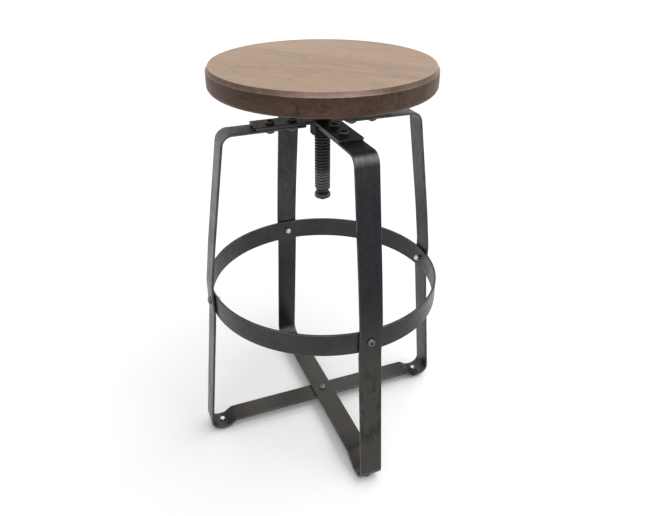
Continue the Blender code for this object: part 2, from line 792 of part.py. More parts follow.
flange_holes = []
pilot_holes = []
for number in range(4):
    angle = math.radians(45 + 90 * number)
    spot = Vector((math.cos(angle), math.sin(angle), 0)) * FLANGE_SCREW_RADIUS
    head_low = FLANGE_BOTTOM - FIT_GAP - WOOD_SCREW_HEAD_HEIGHT
    tip = SEAT_BOTTOM + WOOD_SCREW_BITE
    hole = WOOD_SCREW_DIAMETER / 2 + HOLE_CLEARANCE
    flange_holes.append(
        rod_between(
            spot + UP * (FLANGE_BOTTOM - FLANGE_THICKNESS),
            spot + UP * (FLANGE_TOP + FLANGE_THICKNESS),
            hole,
            HOLE_FACETS,
        )
    )
    pilot_holes.append(
        rod_between(
            spot + UP * (SEAT_BOTTOM - FLANGE_THICKNESS),
            spot + UP * (tip + FIT_GAP),
            hole,
            HOLE_FACETS,
        )
    )
    wood_screw = turned(
        [
            (0, head_low),
            (WOOD_SCREW_HEAD_DIAMETER * 0.30, head_low),
            (WOOD_SCREW_HEAD_DIAMETER * 0.46, head_low + WOOD_SCREW_HEAD_HEIGHT * 0.45),
            (WOOD_SCREW_HEAD_DIAMETER / 2, FLANGE_BOTTOM - FIT_GAP),
            (WOOD_SCREW_DIAMETER / 2, FLANGE_BOTTOM - FIT_GAP),
            (WOOD_SCREW_DIAMETER / 2, tip - WOOD_SCREW_DIAMETER),
            (0, tip),
        ],
        SMALL_FACETS,
    )
    place(f"seat_screw_{number + 1}", stand(wood_screw, spot, UP), BRIGHT_STEEL, screw_axis)
combine(seat_plate, flange_holes, "DIFFERENCE")
combine(seat, pilot_holes, "DIFFERENCE")
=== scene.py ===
# Backless restaurant stool: a round wooden seat on a lifting screw, over two crossed frames of flat bar.
from types import SimpleNamespace

import bmesh
import bpy
import numpy as np
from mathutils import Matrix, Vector


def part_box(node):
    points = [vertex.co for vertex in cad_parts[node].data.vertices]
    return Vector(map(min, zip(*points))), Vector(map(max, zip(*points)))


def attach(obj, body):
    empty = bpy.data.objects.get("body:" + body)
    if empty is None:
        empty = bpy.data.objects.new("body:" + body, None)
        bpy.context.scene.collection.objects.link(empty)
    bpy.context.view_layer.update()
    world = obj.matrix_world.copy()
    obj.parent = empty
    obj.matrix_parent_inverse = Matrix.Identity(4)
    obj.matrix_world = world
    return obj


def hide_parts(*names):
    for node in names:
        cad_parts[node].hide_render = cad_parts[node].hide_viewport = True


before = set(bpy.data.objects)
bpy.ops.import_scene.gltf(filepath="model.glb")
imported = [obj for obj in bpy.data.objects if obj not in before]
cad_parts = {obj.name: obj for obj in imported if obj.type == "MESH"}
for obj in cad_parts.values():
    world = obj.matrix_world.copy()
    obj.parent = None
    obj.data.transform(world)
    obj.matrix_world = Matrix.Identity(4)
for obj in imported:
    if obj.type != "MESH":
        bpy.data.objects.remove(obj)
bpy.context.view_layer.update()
scene = bpy.context.scene
fullTurn = 2 * np.pi
legs = {"left": (-1, 0, 0), "right": (1, 0, 0), "front": (0, -1, 0), "rear": (0, 1, 0)}
print("frame loaded:", len(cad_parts), "nodes")


# Values of a dictionary, to be read as names.
def named(values):
    return SimpleNamespace(**values)


# Lowest and highest corner of a node at rest.
def nodeBox(node):
    low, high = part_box(node)
    return np.array(low), np.array(high)


# New object in the scene that holds a mesh, a light or a camera.
def addObject(name, held):
    made = bpy.data.objects.new(name, held)
    scene.collection.objects.link(made)
    return made


# Node helpers

# Adds one shader node; a socket's value is a number, a colour, or another node's output to link.
def addNode(tree, kind, sockets=None, **settings):
    made = tree.nodes.new("ShaderNode" + kind)
    for key, value in settings.items():
        setattr(made, key, value)
    for key, value in (sockets or {}).items():
        if isinstance(value, bpy.types.NodeSocket):
            tree.links.new(value, made.inputs[key])
        else:
            made.inputs[key].default_value = value
    return made


def mix(tree, factor, first, second, blend="MIX"):
    sockets = {0: factor, 6: first, 7: second}
    return addNode(tree, "Mix", sockets, data_type="RGBA", blend_type=blend).outputs[2]


def calc(tree, operation, first, second=0.0):
    return addNode(tree, "Math", {0: first, 1: second}, operation=operation).outputs[0]


def times(tree, first, second):
    return calc(tree, "MULTIPLY", first, second)


# Sum of values, each times its weight.
def weighted(tree, parts):
    products = [times(tree, value, weight) for value, weight in parts]
    total = products[0]
    for product in products[1:]:
        total = calc(tree, "ADD", total, product)
    return total


def vectorCalc(tree, operation, sockets, output=0):
    return addNode(tree, "VectorMath", sockets, operation=operation).outputs[output]


# Value between two levels, stretched smoothly to run from start to end.
def spread(tree, value, low, high, start=0.0, end=1.0):
    sockets = {"Value": value, "From Min": low, "From Max": high, "To Min": start, "To Max": end}
    return addNode(tree, "MapRange", sockets, interpolation_type="SMOOTHSTEP").outputs["Result"]


def objectPoint(tree):
    return addNode(tree, "TexCoord").outputs["Object"]


def objectHeight(tree):
    return addNode(tree, "SeparateXYZ", {0: objectPoint(tree)}).outputs["Z"]


# A point turned about the upright axis and stretched, for grain that runs one way.
def grainPoint(tree, point, turn, stretch):
    aligned = addNode(tree, "Mapping", {"Vector": point, "Rotation": (0, 0, turn)}).outputs[0]
    return addNode(tree, "Mapping", {"Vector": aligned, "Scale": stretch}).outputs[0]


# The piece's own lay attribute, metres along and across the bar, stretched by two scales.
def layPoint(tree, along, across):
    lay = addNode(tree, "Attribute", attribute_name="lay").outputs["Vector"]
    scale = addNode(tree, "CombineXYZ", {0: along, 1: across, 2: 1.0}).outputs[0]
    return vectorCalc(tree, "MULTIPLY", {0: lay, 1: scale})


# One of the piece's own marks: wear, scorch or rubbed.
def pieceMark(tree, label):
    return addNode(tree, "Attribute", attribute_name=label).outputs["Fac"]


# Mask that is 1 about a place on the piece, out to a core, and fades to 0 at the given reach.
def near(tree, place, reach, core=0.3):
    away = vectorCalc(tree, "DISTANCE", {0: objectPoint(tree), 1: place}, "Value")
    return spread(tree, away, reach, reach * core)


def noise(tree, vector, scale, detail, roughness, distortion=0.0):
    sockets = {"Vector": vector, "Scale": scale, "Detail": detail}
    sockets.update({"Roughness": roughness, "Distortion": distortion})
    return addNode(tree, "TexNoise", sockets).outputs["Fac"]


# New group with one output; an input whose value is a tuple is a colour, any other is a number.
def newGroup(name, inputs, output, outputKind):
    group = bpy.data.node_groups.new(name, "ShaderNodeTree")
    for label, value in inputs.items():
        kind = "Color" if isinstance(value, tuple) else "Float"
        socket = group.interface.new_socket(label, in_out="INPUT", socket_type="NodeSocket" + kind)
        socket.default_value = value
    group.interface.new_socket(output, in_out="OUTPUT", socket_type="NodeSocket" + outputKind)
    given = group.nodes.new("NodeGroupInput").outputs
    return group, given, group.nodes.new("NodeGroupOutput").inputs[output]


def useGroup(tree, group, sockets):
    return addNode(tree, "Group", sockets, node_tree=group).outputs


def newFinish(name):
    finish = bpy.data.materials.new(name)
    finish.use_nodes = True
    tree = finish.node_tree
    return finish, tree, tree.nodes["Principled BSDF"].inputs


# Shared effects

# For each noise its detail and roughness.
effectNoise = {"patches": (5.0, 0.6), "lines": (4.0, 0.6), "wear": (5.0, 0.65)}
effectNoise.update({"fine": (3.0, 0.6), "broad": (3.0, 0.5)})
effectShape = {"wearCut": (0.34, 0.62), "broadScale": 0.12, "broadHeight": 1.6}


# Patches: object noise cut between two levels, as a mask.
def makePatches():
    inputs = {"Scale": 10.0, "Low": 0.4, "High": 0.6}
    group, given, result = newGroup("patches", inputs, "Mask", "Float")
    cloud = noise(group, objectPoint(group), given["Scale"], *effectNoise["patches"])
    group.links.new(spread(group, cloud, given["Low"], given["High"]), result)
    return group


# Rolled lines: noise drawn out along the bar, cut between two levels, as a mask.
def makeRolledLines():
    inputs = {"Along": 8.0, "Across": 300.0, "Low": 0.35, "High": 0.65}
    group, given, result = newGroup("rolledLines", inputs, "Mask", "Float")
    lines = noise(group, layPoint(group, given["Along"], given["Across"]), 1.0, *effectNoise["lines"])
    group.links.new(spread(group, lines, given["Low"], given["High"]), result)
    return group


# Edge wear: the piece's own wear attribute, broken up by noise, lets a brighter colour through.
def makeEdgeWear():
    inputs = {"Colour": (0.1, 0.1, 0.1, 1), "Worn": (0.4, 0.4, 0.4, 1), "Amount": 0.7, "Scale": 60.0}
    group, given, result = newGroup("edgeWear", inputs, "Colour", "Color")
    broken = noise(group, objectPoint(group), given["Scale"], *effectNoise["wear"])
    broken = spread(group, broken, *effectShape["wearCut"])
    mask = times(group, times(group, pieceMark(group, "wear"), broken), given["Amount"])
    group.links.new(mix(group, mask, given["Colour"], given["Worn"]), result)
    return group


# Fine surface: two sizes of object noise as a shallow bump.
def makeFineSurface():
    inputs = {"Scale": 400.0, "Strength": 0.2, "Depth": 0.0003}
    group, given, result = newGroup("fineSurface", inputs, "Normal", "Vector")
    place = objectPoint(group)
    fine = noise(group, place, given["Scale"], *effectNoise["fine"])
    broadScale = times(group, given["Scale"], effectShape["broadScale"])
    broad = noise(group, place, broadScale, *effectNoise["broad"])
    sockets = {"Strength": given["Strength"], "Distance": given["Depth"]}
    sockets["Height"] = calc(group, "ADD", fine, times(group, broad, effectShape["broadHeight"]))
    group.links.new(addNode(group, "Bump", sockets).outputs[0], result)
    return group


patches = makePatches()
rolledLines = makeRolledLines()
edgeWear = makeEdgeWear()
fineSurface = makeFineSurface()


# Gives a shader a colour, with another worn through at its edges by an amount and a scale.
def addWorn(tree, shader, colour, worn, amount, scale):
    sockets = {"Colour": colour, "Worn": worn, "Amount": amount, "Scale": scale}
    tree.links.new(useGroup(tree, edgeWear, sockets)["Colour"], shader["Base Color"])


# Gives a shader the fine surface at a size, strength and depth.
def addSkin(tree, shader, size, strength, depth):
    skin = useGroup(tree, fineSurface, {"Scale": size, "Strength": strength, "Depth": depth})
    tree.links.new(skin["Normal"], shader["Normal"])


# Finishes

# Stained wood: long fine grain, pores and streaks. The top, the cove under its edge and the side are one
# stain in
# lit and shaded copies: the top painted paler, a painted sheen; the cove darker and the side darkest,
# painted shade, the side partly also the stain taking darker there. A painted highlight makes the cove pale
# in front and behind; the side has end grain in short dashes and a hooked curl. A grain is its stretch
# along, across and up, then detail, roughness and distortion; a cut is two levels of a noise and the shares
# of colour there.
woodLook = {
    "grainTurn": np.radians(48),
    "grain": {
        "broad": ((2.4, 17, 17), 4.0, 0.55, 0.4), "lines": ((6, 230, 210), 5.0, 0.62, 0.3),
        "pores": ((55, 1400, 700), 2.0, 0.5, 0.0), "rare": ((3.2, 48, 30), 3.0, 0.5, 0.5),
        "hue": ((16, 62, 50), 3.0, 0.55, 0.0), "flecks": ((80, 360, 330), 3.0, 0.65, 0.0),
        "ends": ((420, 420, 45), 2.0, 0.5, 0.0),
    },
    "toneWeights": {"broad": 0.3, "lines": 0.38, "flecks": 0.32}, "toneCut": (0.41, 0.59),
    "coveDrop": 0.0068, "topFade": (-0.0012, -0.0003), "sideFade": (0.0003, -0.0004),
    "topPale": (0.411, 0.288, 0.194, 1), "topDark": (0.246, 0.171, 0.118, 1),
    "topPink": (0.384, 0.246, 0.168, 1), "pinkCut": (0.42, 0.58, 0.0, 0.675),
    "topRim": (0.43, 0.305, 0.215, 1), "rimBack": 0.004, "rimWorn": 0.0045, "rimShare": 0.7,
    "covePale": (0.215, 0.142, 0.104, 1), "coveDark": (0.13, 0.083, 0.06, 1),
    # Colours, place and reach of the cove's painted highlight, and the way and range of its part towards
    # the back.
    "sapPale": (0.44, 0.318, 0.262, 1), "sapDark": (0.33, 0.222, 0.178, 1),
    "sapNear": ((-0.0516, -0.1688, 0.669), 0.092), "backWay": (0.3645, 0.9312, 0.0),
    "backRange": (-0.09, -0.015), "sidePale": (0.142, 0.074, 0.0475, 1),
    "sideDark": (0.052, 0.028, 0.021, 1), "sideOlive": (0.14, 0.092, 0.044, 1),
    "oliveCut": (0.5, 0.62, 0.0, 0.5), "sideLow": (0.17, 0.108, 0.07, 1), "sideRound": 0.01,
    "shadeShare": 0.5, "lowShare": 0.6, "streak": (0.215, 0.125, 0.085, 1),
    "streakCut": (0.58, 0.74, 0.0, 0.4), "poreCut": (0.6, 0.72, 0.0, 0.3),
    "curl": (0.03, 0.016, 0.011, 1), "curlPlace": (-0.1, -0.145, 0.65), "curlReach": 0.03,
    "curlRing": 0.0088, "curlCore": 0.00352, "curlInside": 0.5, "curlLine": (0.0016, 0.0003, 0.0, 0.75),
    "curlWay": (0.9312, -0.3645, 0.0), "curlSide": (-0.004, 0.003), "curlWander": 0.02,
    "curlScale": 95.0, "curlDetail": 2.0, "endDash": (0.23, 0.155, 0.105, 1),
    "endCut": (0.54, 0.7, 0.0, 0.4), "endNear": ((0.053, -0.1683, 0.652), 0.055),
    "arris": (0.56, 0.43, 0.33, 1), "arrisWear": (0.1, 0.6), "arrisScale": 45.0,
    "rough": (0.3, 0.7, 0.42, 0.58), "dents": {"lines": 0.6, "pores": -0.5}, "dentStrength": 0.2,
    "dentDepth": 0.0006, "shine": 0.24,
}


def makeSeatWood():
    look = named(woodLook)
    finish, tree, shader = newFinish("seatWood")
    low, high = nodeBox("seat")
    bottom, top, rim = low[2], high[2], high[0] - look.rimBack
    coveLow, roundHigh = top - look.coveDrop, bottom + look.sideRound
    height = objectHeight(tree)
    level = vectorCalc(tree, "MULTIPLY", {0: objectPoint(tree), 1: (1, 1, 0)})
    fromAxis = vectorCalc(tree, "LENGTH", {0: level}, "Value")
    # A paler band along the top just inside the cove.
    onRim = spread(tree, fromAxis, rim - look.rimWorn, rim, 0.0, look.rimShare)
    onTop = spread(tree, height, top + look.topFade[0], top + look.topFade[1])
    onSide = spread(tree, height, coveLow + look.sideFade[0], coveLow + look.sideFade[1])

    # The grain wanders about the curl.
    curl = near(tree, look.curlPlace, look.curlReach)
    wander = {"Vector": objectPoint(tree), "Scale": look.curlScale, "Detail": look.curlDetail}
    wander = addNode(tree, "TexNoise", wander).outputs["Color"]
    wander = vectorCalc(tree, "SUBTRACT", {0: wander, 1: (0.5, 0.5, 0.5)})
    wander = vectorCalc(tree, "SCALE", {0: wander, "Scale": times(tree, curl, look.curlWander)})
    place = vectorCalc(tree, "ADD", {0: objectPoint(tree), 1: wander})
    grain = {}
    for name, (stretch, *kind) in look.grain.items():
        point = objectPoint(tree) if name == "ends" else place
        grain[name] = noise(tree, grainPoint(tree, point, look.grainTurn, stretch), 1.0, *kind)
    tone = weighted(tree, [(grain[name], weight) for name, weight in look.toneWeights.items()])
    tone = spread(tree, tone, *look.toneCut)

    # Painted highlight: the cove painted paler about a place in front and towards the back.
    coveHighlight = near(tree, *look.sapNear)
    back = vectorCalc(tree, "DOT_PRODUCT", {0: objectPoint(tree), 1: look.backWay}, "Value")
    coveHighlight = calc(tree, "MAXIMUM", coveHighlight, spread(tree, back, *look.backRange))
    # The cove: the top's stain in a darker copy, painted shade under the edge.
    onCove = mix(tree, tone, look.coveDark, look.covePale)
    onCove = mix(tree, coveHighlight, onCove, mix(tree, tone, look.sapDark, look.sapPale))
    # The top: the stain in a paler copy, a painted sheen.
    worn = mix(tree, tone, look.topDark, look.topPale)
    worn = mix(tree, spread(tree, grain["hue"], *look.pinkCut), worn, look.topPink)
    worn = mix(tree, onRim, worn, look.topRim)

    # The side: the darkest copy, painted shade, partly also the stain taking darker there.
    side = mix(tree, tone, look.sideDark, look.sidePale)
    side = mix(tree, spread(tree, grain["hue"], *look.oliveCut), side, look.sideOlive)
    # Painted shade: the side darker towards the ledge under the cove.
    shaded = spread(tree, height, roundHigh, coveLow, 0.0, look.shadeShare)
    side = mix(tree, shaded, side, look.sideDark)
    # Painted lit part: the side paler towards its rounded lower edge, as if lit from the floor.
    floorLitSide = spread(tree, height, roundHigh, bottom, 0.0, look.lowShare)
    side = mix(tree, floorLitSide, side, look.sideLow)
    dashes = spread(tree, grain["ends"], *look.endCut)
    atEnd = near(tree, *look.endNear)
    side = mix(tree, times(tree, dashes, atEnd), side, look.endDash)

    colour = mix(tree, onSide, mix(tree, onTop, onCove, worn), side)
    colour = mix(tree, spread(tree, grain["rare"], *look.streakCut), colour, look.streak)
    colour = mix(tree, spread(tree, grain["pores"], *look.poreCut), colour, look.sideDark)

    # The curl: a dark line at one distance from its place, on one side only, and paler wood inside.
    away = vectorCalc(tree, "DISTANCE", {0: place, 1: look.curlPlace}, "Value")
    contour = calc(tree, "ABSOLUTE", calc(tree, "SUBTRACT", away, look.curlRing))
    contour = spread(tree, contour, *look.curlLine)
    across = vectorCalc(tree, "SUBTRACT", {0: place, 1: look.curlPlace})
    across = vectorCalc(tree, "DOT_PRODUCT", {0: across, 1: look.curlWay}, "Value")
    contour = times(tree, contour, spread(tree, across, *look.curlSide))
    inside = spread(tree, away, look.curlRing, look.curlCore, 0.0, look.curlInside)
    colour = mix(tree, times(tree, inside, onSide), colour, look.sidePale)
    colour = mix(tree, times(tree, contour, onSide), colour, look.curl)

    # The arrises are worn paler where the cove's painted highlight lies, so this too is partly painted
    # highlight.
    wear = spread(tree, coveHighlight, 0.0, 1.0, *look.arrisWear)
    addWorn(tree, shader, colour, look.arris, wear, look.arrisScale)
    tree.links.new(spread(tree, grain["lines"], *look.rough), shader["Roughness"])
    dents = weighted(tree, [(grain[name], weight) for name, weight in look.dents.items()])
    bump = {"Strength": look.dentStrength, "Distance": look.dentDepth, "Height": dents}
    tree.links.new(addNode(tree, "Bump", bump).outputs[0], shader["Normal"])
    shader["Specular IOR Level"].default_value = look.shine
    return finish


# Steel finishes share one recipe: two tones in patches and rolled lines. Towards the floor the frame takes
# a warmer tint, and the screw, bolt and bright steel a paler colour, a painted lit part out of the seat's
# shade; the front leg's upper part is darkened and cooled, painted shade. Dark scale in dashes on that leg,
# and dark where marked as
# scorched and shaded: a heat tint, as on the welded hub nut, and on the joggle slopes partly painted shade.
# Painted shade and less gloss about the hub; paler where marked with painted sheen, a painted highlight on
# the bends, arms and hub plate; worn edges and a fine surface.
steelMarks = {
    "mottle": {"Scale": 16.0, "Low": 0.34, "High": 0.66},
    "spots": {"Scale": 120.0, "Low": 0.36, "High": 0.64},
    "lines": {"Along": 7.0, "Across": 240.0, "Low": 0.3, "High": 0.7},
    "dashes": {"Along": 28.0, "Across": 90.0, "Low": 0.46, "High": 0.66},
    "toneWeights": (0.34, 0.28, 0.38), "warmShare": (0.5, 1.0),
    "coolNear": ((0.0, -0.197, 0.445), 0.22), "scaleNear": ((-0.012, -0.222, 0.15), 0.14),
    "scaleShare": (0.12, 0.65), "scorchShare": (0.85, 0.6), "scorchDull": 0.15,
    "grime": (0.011, 0.0113, 0.014, 1), "grimeNear": ((0.0, -0.03, 0.585), 0.09),
    "dullNear": ((0.0, 0.0, 0.588), 0.2), "rubShare": (0.7, 1.0), "rubDull": 0.2, "wearScale": 70.0,
}
steelLooks = {
    "frameSteel": {
        "dark": (0.04, 0.0403, 0.041, 1), "pale": (0.069, 0.0685, 0.068, 1),
        "low": (0.0565, 0.0515, 0.0445, 1), "lowRange": (0.42, 0.2), "cool": (0.46, 0.475, 0.54, 1),
        "scale": (0.018, 0.0162, 0.017, 1), "worn": (0.17, 0.17, 0.165, 1), "wear": 0.35,
        "grimed": 0.62, "dull": 0.08, "rough": (0.46, 0.3), "bump": (420.0, 0.1, 0.0003),
        "metal": 0.92,
    },
    # The screw's low colour is a painted lit part: much paler below 0.49 m, where the seat's shadow ends on
    # it.
    "screwSteel": {
        "dark": (0.031, 0.031, 0.033, 1), "pale": (0.056, 0.056, 0.057, 1),
        "low": (0.15, 0.151, 0.156, 1), "lowRange": (0.506, 0.49), "cool": (1, 1, 1, 1),
        "scale": (0.012, 0.012, 0.012, 1), "worn": (0.12, 0.12, 0.12, 1), "wear": 0.1, "grimed": 0.25,
        "dull": 0.12, "rough": (0.46, 0.3), "bump": (700.0, 0.12, 0.0003), "metal": 0.95,
    },
    "boltSteel": {
        "dark": (0.075, 0.076, 0.08, 1), "pale": (0.11, 0.111, 0.116, 1),
        "low": (0.105, 0.106, 0.112, 1), "lowRange": (0.42, 0.28), "cool": (1, 1, 1, 1),
        "scale": (0.03, 0.03, 0.03, 1), "worn": (0.36, 0.36, 0.37, 1), "wear": 0.3, "grimed": 0.0,
        "dull": 0.4, "rough": (0.22, 0.1), "bump": (800.0, 0.06, 0.0002), "metal": 1.0,
    },
    "brightSteel": {
        "dark": (0.58, 0.58, 0.57, 1), "pale": (0.8, 0.8, 0.79, 1), "low": (0.78, 0.77, 0.76, 1),
        "lowRange": (0.42, 0.02), "cool": (1, 1, 1, 1), "scale": (0.3, 0.3, 0.3, 1),
        "worn": (0.8, 0.8, 0.79, 1), "wear": 0.5, "grimed": 0.0, "dull": 0.0, "rough": (0.38, 0.2),
        "bump": (800.0, 0.08, 0.0002), "metal": 1.0,
    },
}


def makeSteel(name):
    look, mark = named(steelLooks[name]), named(steelMarks)
    finish, tree, shader = newFinish(name)
    mottle = useGroup(tree, patches, mark.mottle)["Mask"]
    spots = useGroup(tree, patches, mark.spots)["Mask"]
    lines = useGroup(tree, rolledLines, mark.lines)["Mask"]
    dashes = useGroup(tree, rolledLines, mark.dashes)["Mask"]
    tone = weighted(tree, zip((mottle, lines, spots), mark.toneWeights))
    colour = mix(tree, tone, look.dark, look.pale)
    # Towards the floor: on the frame a warmer tint of the steel; on screw, bolt and bright steel a paler
    # painted lit part.
    lowerTintAndLight = spread(tree, objectHeight(tree), *look.lowRange)
    lowerTintAndLight = times(tree, lowerTintAndLight, spread(tree, tone, 0.0, 1.0, *mark.warmShare))
    colour = mix(tree, lowerTintAndLight, colour, look.low)
    # Painted shade: the front leg's upper part darkened and cooled.
    cool = near(tree, *mark.coolNear)
    colour = mix(tree, cool, colour, look.cool, "MULTIPLY")
    # Scorched and shaded: a heat tint, as on the welded hub nut, and on the joggle slopes partly painted
    # shade.
    scorch = spread(tree, mottle, 0.0, 1.0, *mark.scorchShare)
    scorch = times(tree, pieceMark(tree, "scorch"), scorch)
    colour = mix(tree, scorch, colour, look.scale)
    flecks = near(tree, *mark.scaleNear)
    flecks = spread(tree, flecks, 0.0, 1.0, *mark.scaleShare)
    colour = mix(tree, times(tree, flecks, dashes), colour, look.scale)
    # Painted shade about the hub, under the seat.
    grime = near(tree, *mark.grimeNear)
    colour = mix(tree, times(tree, grime, look.grimed), colour, mark.grime)
    # Painted highlight: paler along rolled lines where marked with painted sheen, on the bends, arms and
    # hub plate.
    rubbed = spread(tree, lines, 0.0, 1.0, *mark.rubShare)
    rubbed = times(tree, pieceMark(tree, "rubbed"), rubbed)
    colour = mix(tree, rubbed, colour, look.worn)
    addWorn(tree, shader, colour, look.worn, look.wear, mark.wearScale)
    rough = spread(tree, tone, 0.0, 1.0, *look.rough)
    dull = near(tree, *mark.dullNear)
    for dulled, share in ((dull, look.dull), (scorch, mark.scorchDull), (rubbed, mark.rubDull)):
        rough = calc(tree, "ADD", rough, times(tree, dulled, share))
    tree.links.new(rough, shader["Roughness"])
    addSkin(tree, shader, *look.bump)
    shader["Metallic"].default_value = look.metal
    return finish


# Black nylon: matt, scuffed grey in patches.
nylonLook = {
    "black": (0.008, 0.008, 0.009, 1), "scuffed": (0.03, 0.029, 0.028, 1),
    "scuffs": {"Scale": 240.0, "Low": 0.5, "High": 0.7}, "scuffShare": 0.5, "wear": 0.8,
    "wearScale": 120.0, "rough": (0.5, 0.7), "bump": (900.0, 0.25, 0.0002),
}


def makeGlideNylon():
    look = named(nylonLook)
    finish, tree, shader = newFinish("glideNylon")
    scuffs = useGroup(tree, patches, look.scuffs)["Mask"]
    colour = times(tree, scuffs, look.scuffShare)
    colour = mix(tree, colour, look.black, look.scuffed)
    addWorn(tree, shader, colour, look.scuffed, look.wear, look.wearScale)
    tree.links.new(spread(tree, scuffs, 0.0, 1.0, *look.rough), shader["Roughness"])
    addSkin(tree, shader, *look.bump)
    return finish


# Each finish under the slot that it takes in the record.
finishes = {"seat_wood": makeSeatWood(), "glide_nylon": makeGlideNylon()}
for kind in ("frame", "screw", "bolt", "bright"):
    finishes[kind + "_steel"] = makeSteel(kind + "Steel")
print("finishes made:", ", ".join(sorted(finishes)))


# Mesh helpers

# Puts a grid of points into a piece: each row closes into a ring, and neighbouring rows are joined by
# quads. With loop the last row joins the first; with caps the end rows are filled; a row of one place is a
# pole. Marks of scorch and shade (partly heat tint, partly painted shade) and of painted sheen (a painted
# highlight) may be added to wear. The lay attribute holds metres along the bar and across it; with
# alongRows the bar runs with the rows.
def addPiece(name, grid, wear, slot, node, body="base",
             loop=False, caps=False, crease=42, alongRows=False, **marked):
    rows, ring = grid.shape[:2]
    row = np.arange(rows if loop else rows - 1)[:, None]
    column = np.arange(ring)[None, :]
    here, below, after = row * ring, (row + 1) % rows * ring, (column + 1) % ring
    corners = np.broadcast_arrays(here + column, here + after, below + after, below + column)
    faces = np.stack(corners, -1).reshape(-1, 4).tolist()
    if caps:
        faces += [list(range(ring)), list(range((rows - 1) * ring, rows * ring))]
    mesh = bpy.data.meshes.new(name)
    mesh.from_pydata(grid.reshape(-1, 3).tolist(), [], faces)
    for label, mark in {"wear": wear, "scorch": 0.0, "rubbed": 0.0, **marked}.items():
        marks = np.broadcast_to(mark, (rows, ring)).astype(np.float32)
        mesh.attributes.new(label, "FLOAT", "POINT").data.foreach_set("value", marks.ravel())

    down = np.append(0, np.cumsum(np.linalg.norm(np.roll(grid, -1, 0) - grid, axis=2).max(1)))
    around = np.append(0, np.cumsum(np.linalg.norm(np.roll(grid, -1, 1) - grid, axis=2).max(0)))
    runDown = [down[row], down[row], down[row + 1], down[row + 1]]
    runDown = np.stack(np.broadcast_arrays(*runDown, around[column])[:4], -1)
    runAround = [around[column], around[column + 1], around[column + 1], around[column]]
    runAround = np.stack(np.broadcast_arrays(*runAround, down[row])[:4], -1)
    runs = [runDown, runAround] if alongRows else [runAround, runDown]
    lay = np.zeros((len(mesh.loops), 3), np.float32)
    lay[: runDown.size, :2] = np.stack([run.ravel() for run in runs], -1)
    mesh.attributes.new("lay", "FLOAT_VECTOR", "CORNER").data.foreach_set("vector", lay.ravel())

    shell = bmesh.new()
    shell.from_mesh(mesh)
    bmesh.ops.remove_doubles(shell, verts=shell.verts[:], dist=1e-7)
    bmesh.ops.recalc_face_normals(shell, faces=shell.faces[:])
    shell.to_mesh(mesh)
    shell.free()
    mesh.shade_smooth()
    mesh.set_sharp_from_angle(angle=np.radians(crease))
    mesh.materials.append(finishes[slot])
    piece = addObject(name, mesh)
    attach(piece, body)
    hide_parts(node)


# Line through corners (across, up, radius): each rounded corner is an arc between its tangent points, with
# one more point just before and after it, so that the flats stay flat. Gives points, directions and edge
# marks.
def roundedLine(corners, closed=True, steps=5, guard=0.0002):
    points = np.array([corner[:2] for corner in corners], float)
    ahead = np.roll(points, -1, 0) - points
    ahead /= np.linalg.norm(ahead, axis=1)[:, None]
    places, ways, marks = [], [], []
    for number, (here, radius) in enumerate(zip(points, [corner[2] for corner in corners])):
        first, last = ahead[number - 1], ahead[number]
        if not closed and number in (0, len(points) - 1):
            first = last = ahead[0] if number == 0 else ahead[number - 1]
        turn = np.arccos(np.clip(first @ last, -1, 1))
        if radius == 0 or turn < 1e-4:
            places.append(here[None])
            ways.append(((first + last) / np.linalg.norm(first + last))[None])
            marks.append([0.0])
            continue
        share = np.linspace(0, 1, steps + 1)[:, None]
        way = (np.sin((1 - share) * turn) * first + np.sin(share * turn) * last) / np.sin(turn)
        reach = radius * np.tan(turn / 2)
        side = np.sign(first[0] * last[1] - first[1] * last[0])
        inward = side * np.stack([-way[:, 1], way[:, 0]], -1)
        centre = here - first * reach + inward[0] * radius
        before, beyond = here - first * (reach + guard), here + last * (reach + guard)
        places += [before[None], centre - inward * radius, beyond[None]]
        ways += [first[None], way, last[None]]
        marks.append([0.0] + [1.0] * (steps + 1) + [0.0])
    return np.concatenate(places), np.concatenate(ways), np.concatenate(marks)


def ringAngles(count):
    return np.linspace(0, fullTurn, count, endpoint=False)


# Turned form: an outline of radius and height carried once round the upright axis.
def turned(outline, count):
    angle = ringAngles(count)
    radius, height = outline[:, :1], outline[:, 1:]
    return np.stack(np.broadcast_arrays(radius * np.cos(angle), radius * np.sin(angle), height), -1)


# Turned piece: corners (radius, height, round) made into an outline and turned about the axis, or a place.
def addTurned(name, corners, count, slot, node, body="base",
              closed=True, steps=5, share=1.0, place=0.0, **marked):
    outline, _, marks = roundedLine(corners, closed, steps)
    form = turned(outline, count) + place
    addPiece(name, form, share * marks[:, None], slot, node, body, loop=closed, **marked)


# Rows of (radius, height, wear), where radius may change with the angle, made into a grid and its wear.
def stacked(rows, angle):
    columns = [[np.broadcast_to(value, angle.shape) for value in column] for column in zip(*rows)]
    radius, height, wear = np.array(columns, float)
    return np.stack([radius * np.cos(angle), radius * np.sin(angle), height], -1), wear


# Moves an upright form: its origin goes to the place and its own up to the direction.
def placed(grid, place, direction):
    up = np.array(direction, float)
    side = np.array([1.0, 0, 0]) if abs(up[2]) > 0.9 else np.cross(up, (0, 0, 1.0))
    return grid @ np.stack([side, np.cross(up, side), up]) + np.array(place, float)


# Placed piece: a fastener's grid and wear, moved to a place with its own up along a direction.
def addPlaced(name, shape, place, way, slot, node, body="base", loop=False):
    addPiece(name, placed(shape[0], place, way), shape[1], slot, node, body, loop=loop)


# Radius of a hexagon by its size across flats, its corners rounded off a little.
def hexRadius(angle, flats, corner=0.975):
    turn = (angle + np.pi / 6) % (np.pi / 3) - np.pi / 6
    return np.minimum(flats / 2 / np.cos(turn), flats / 2 / np.cos(np.pi / 6) * corner)


# Seat

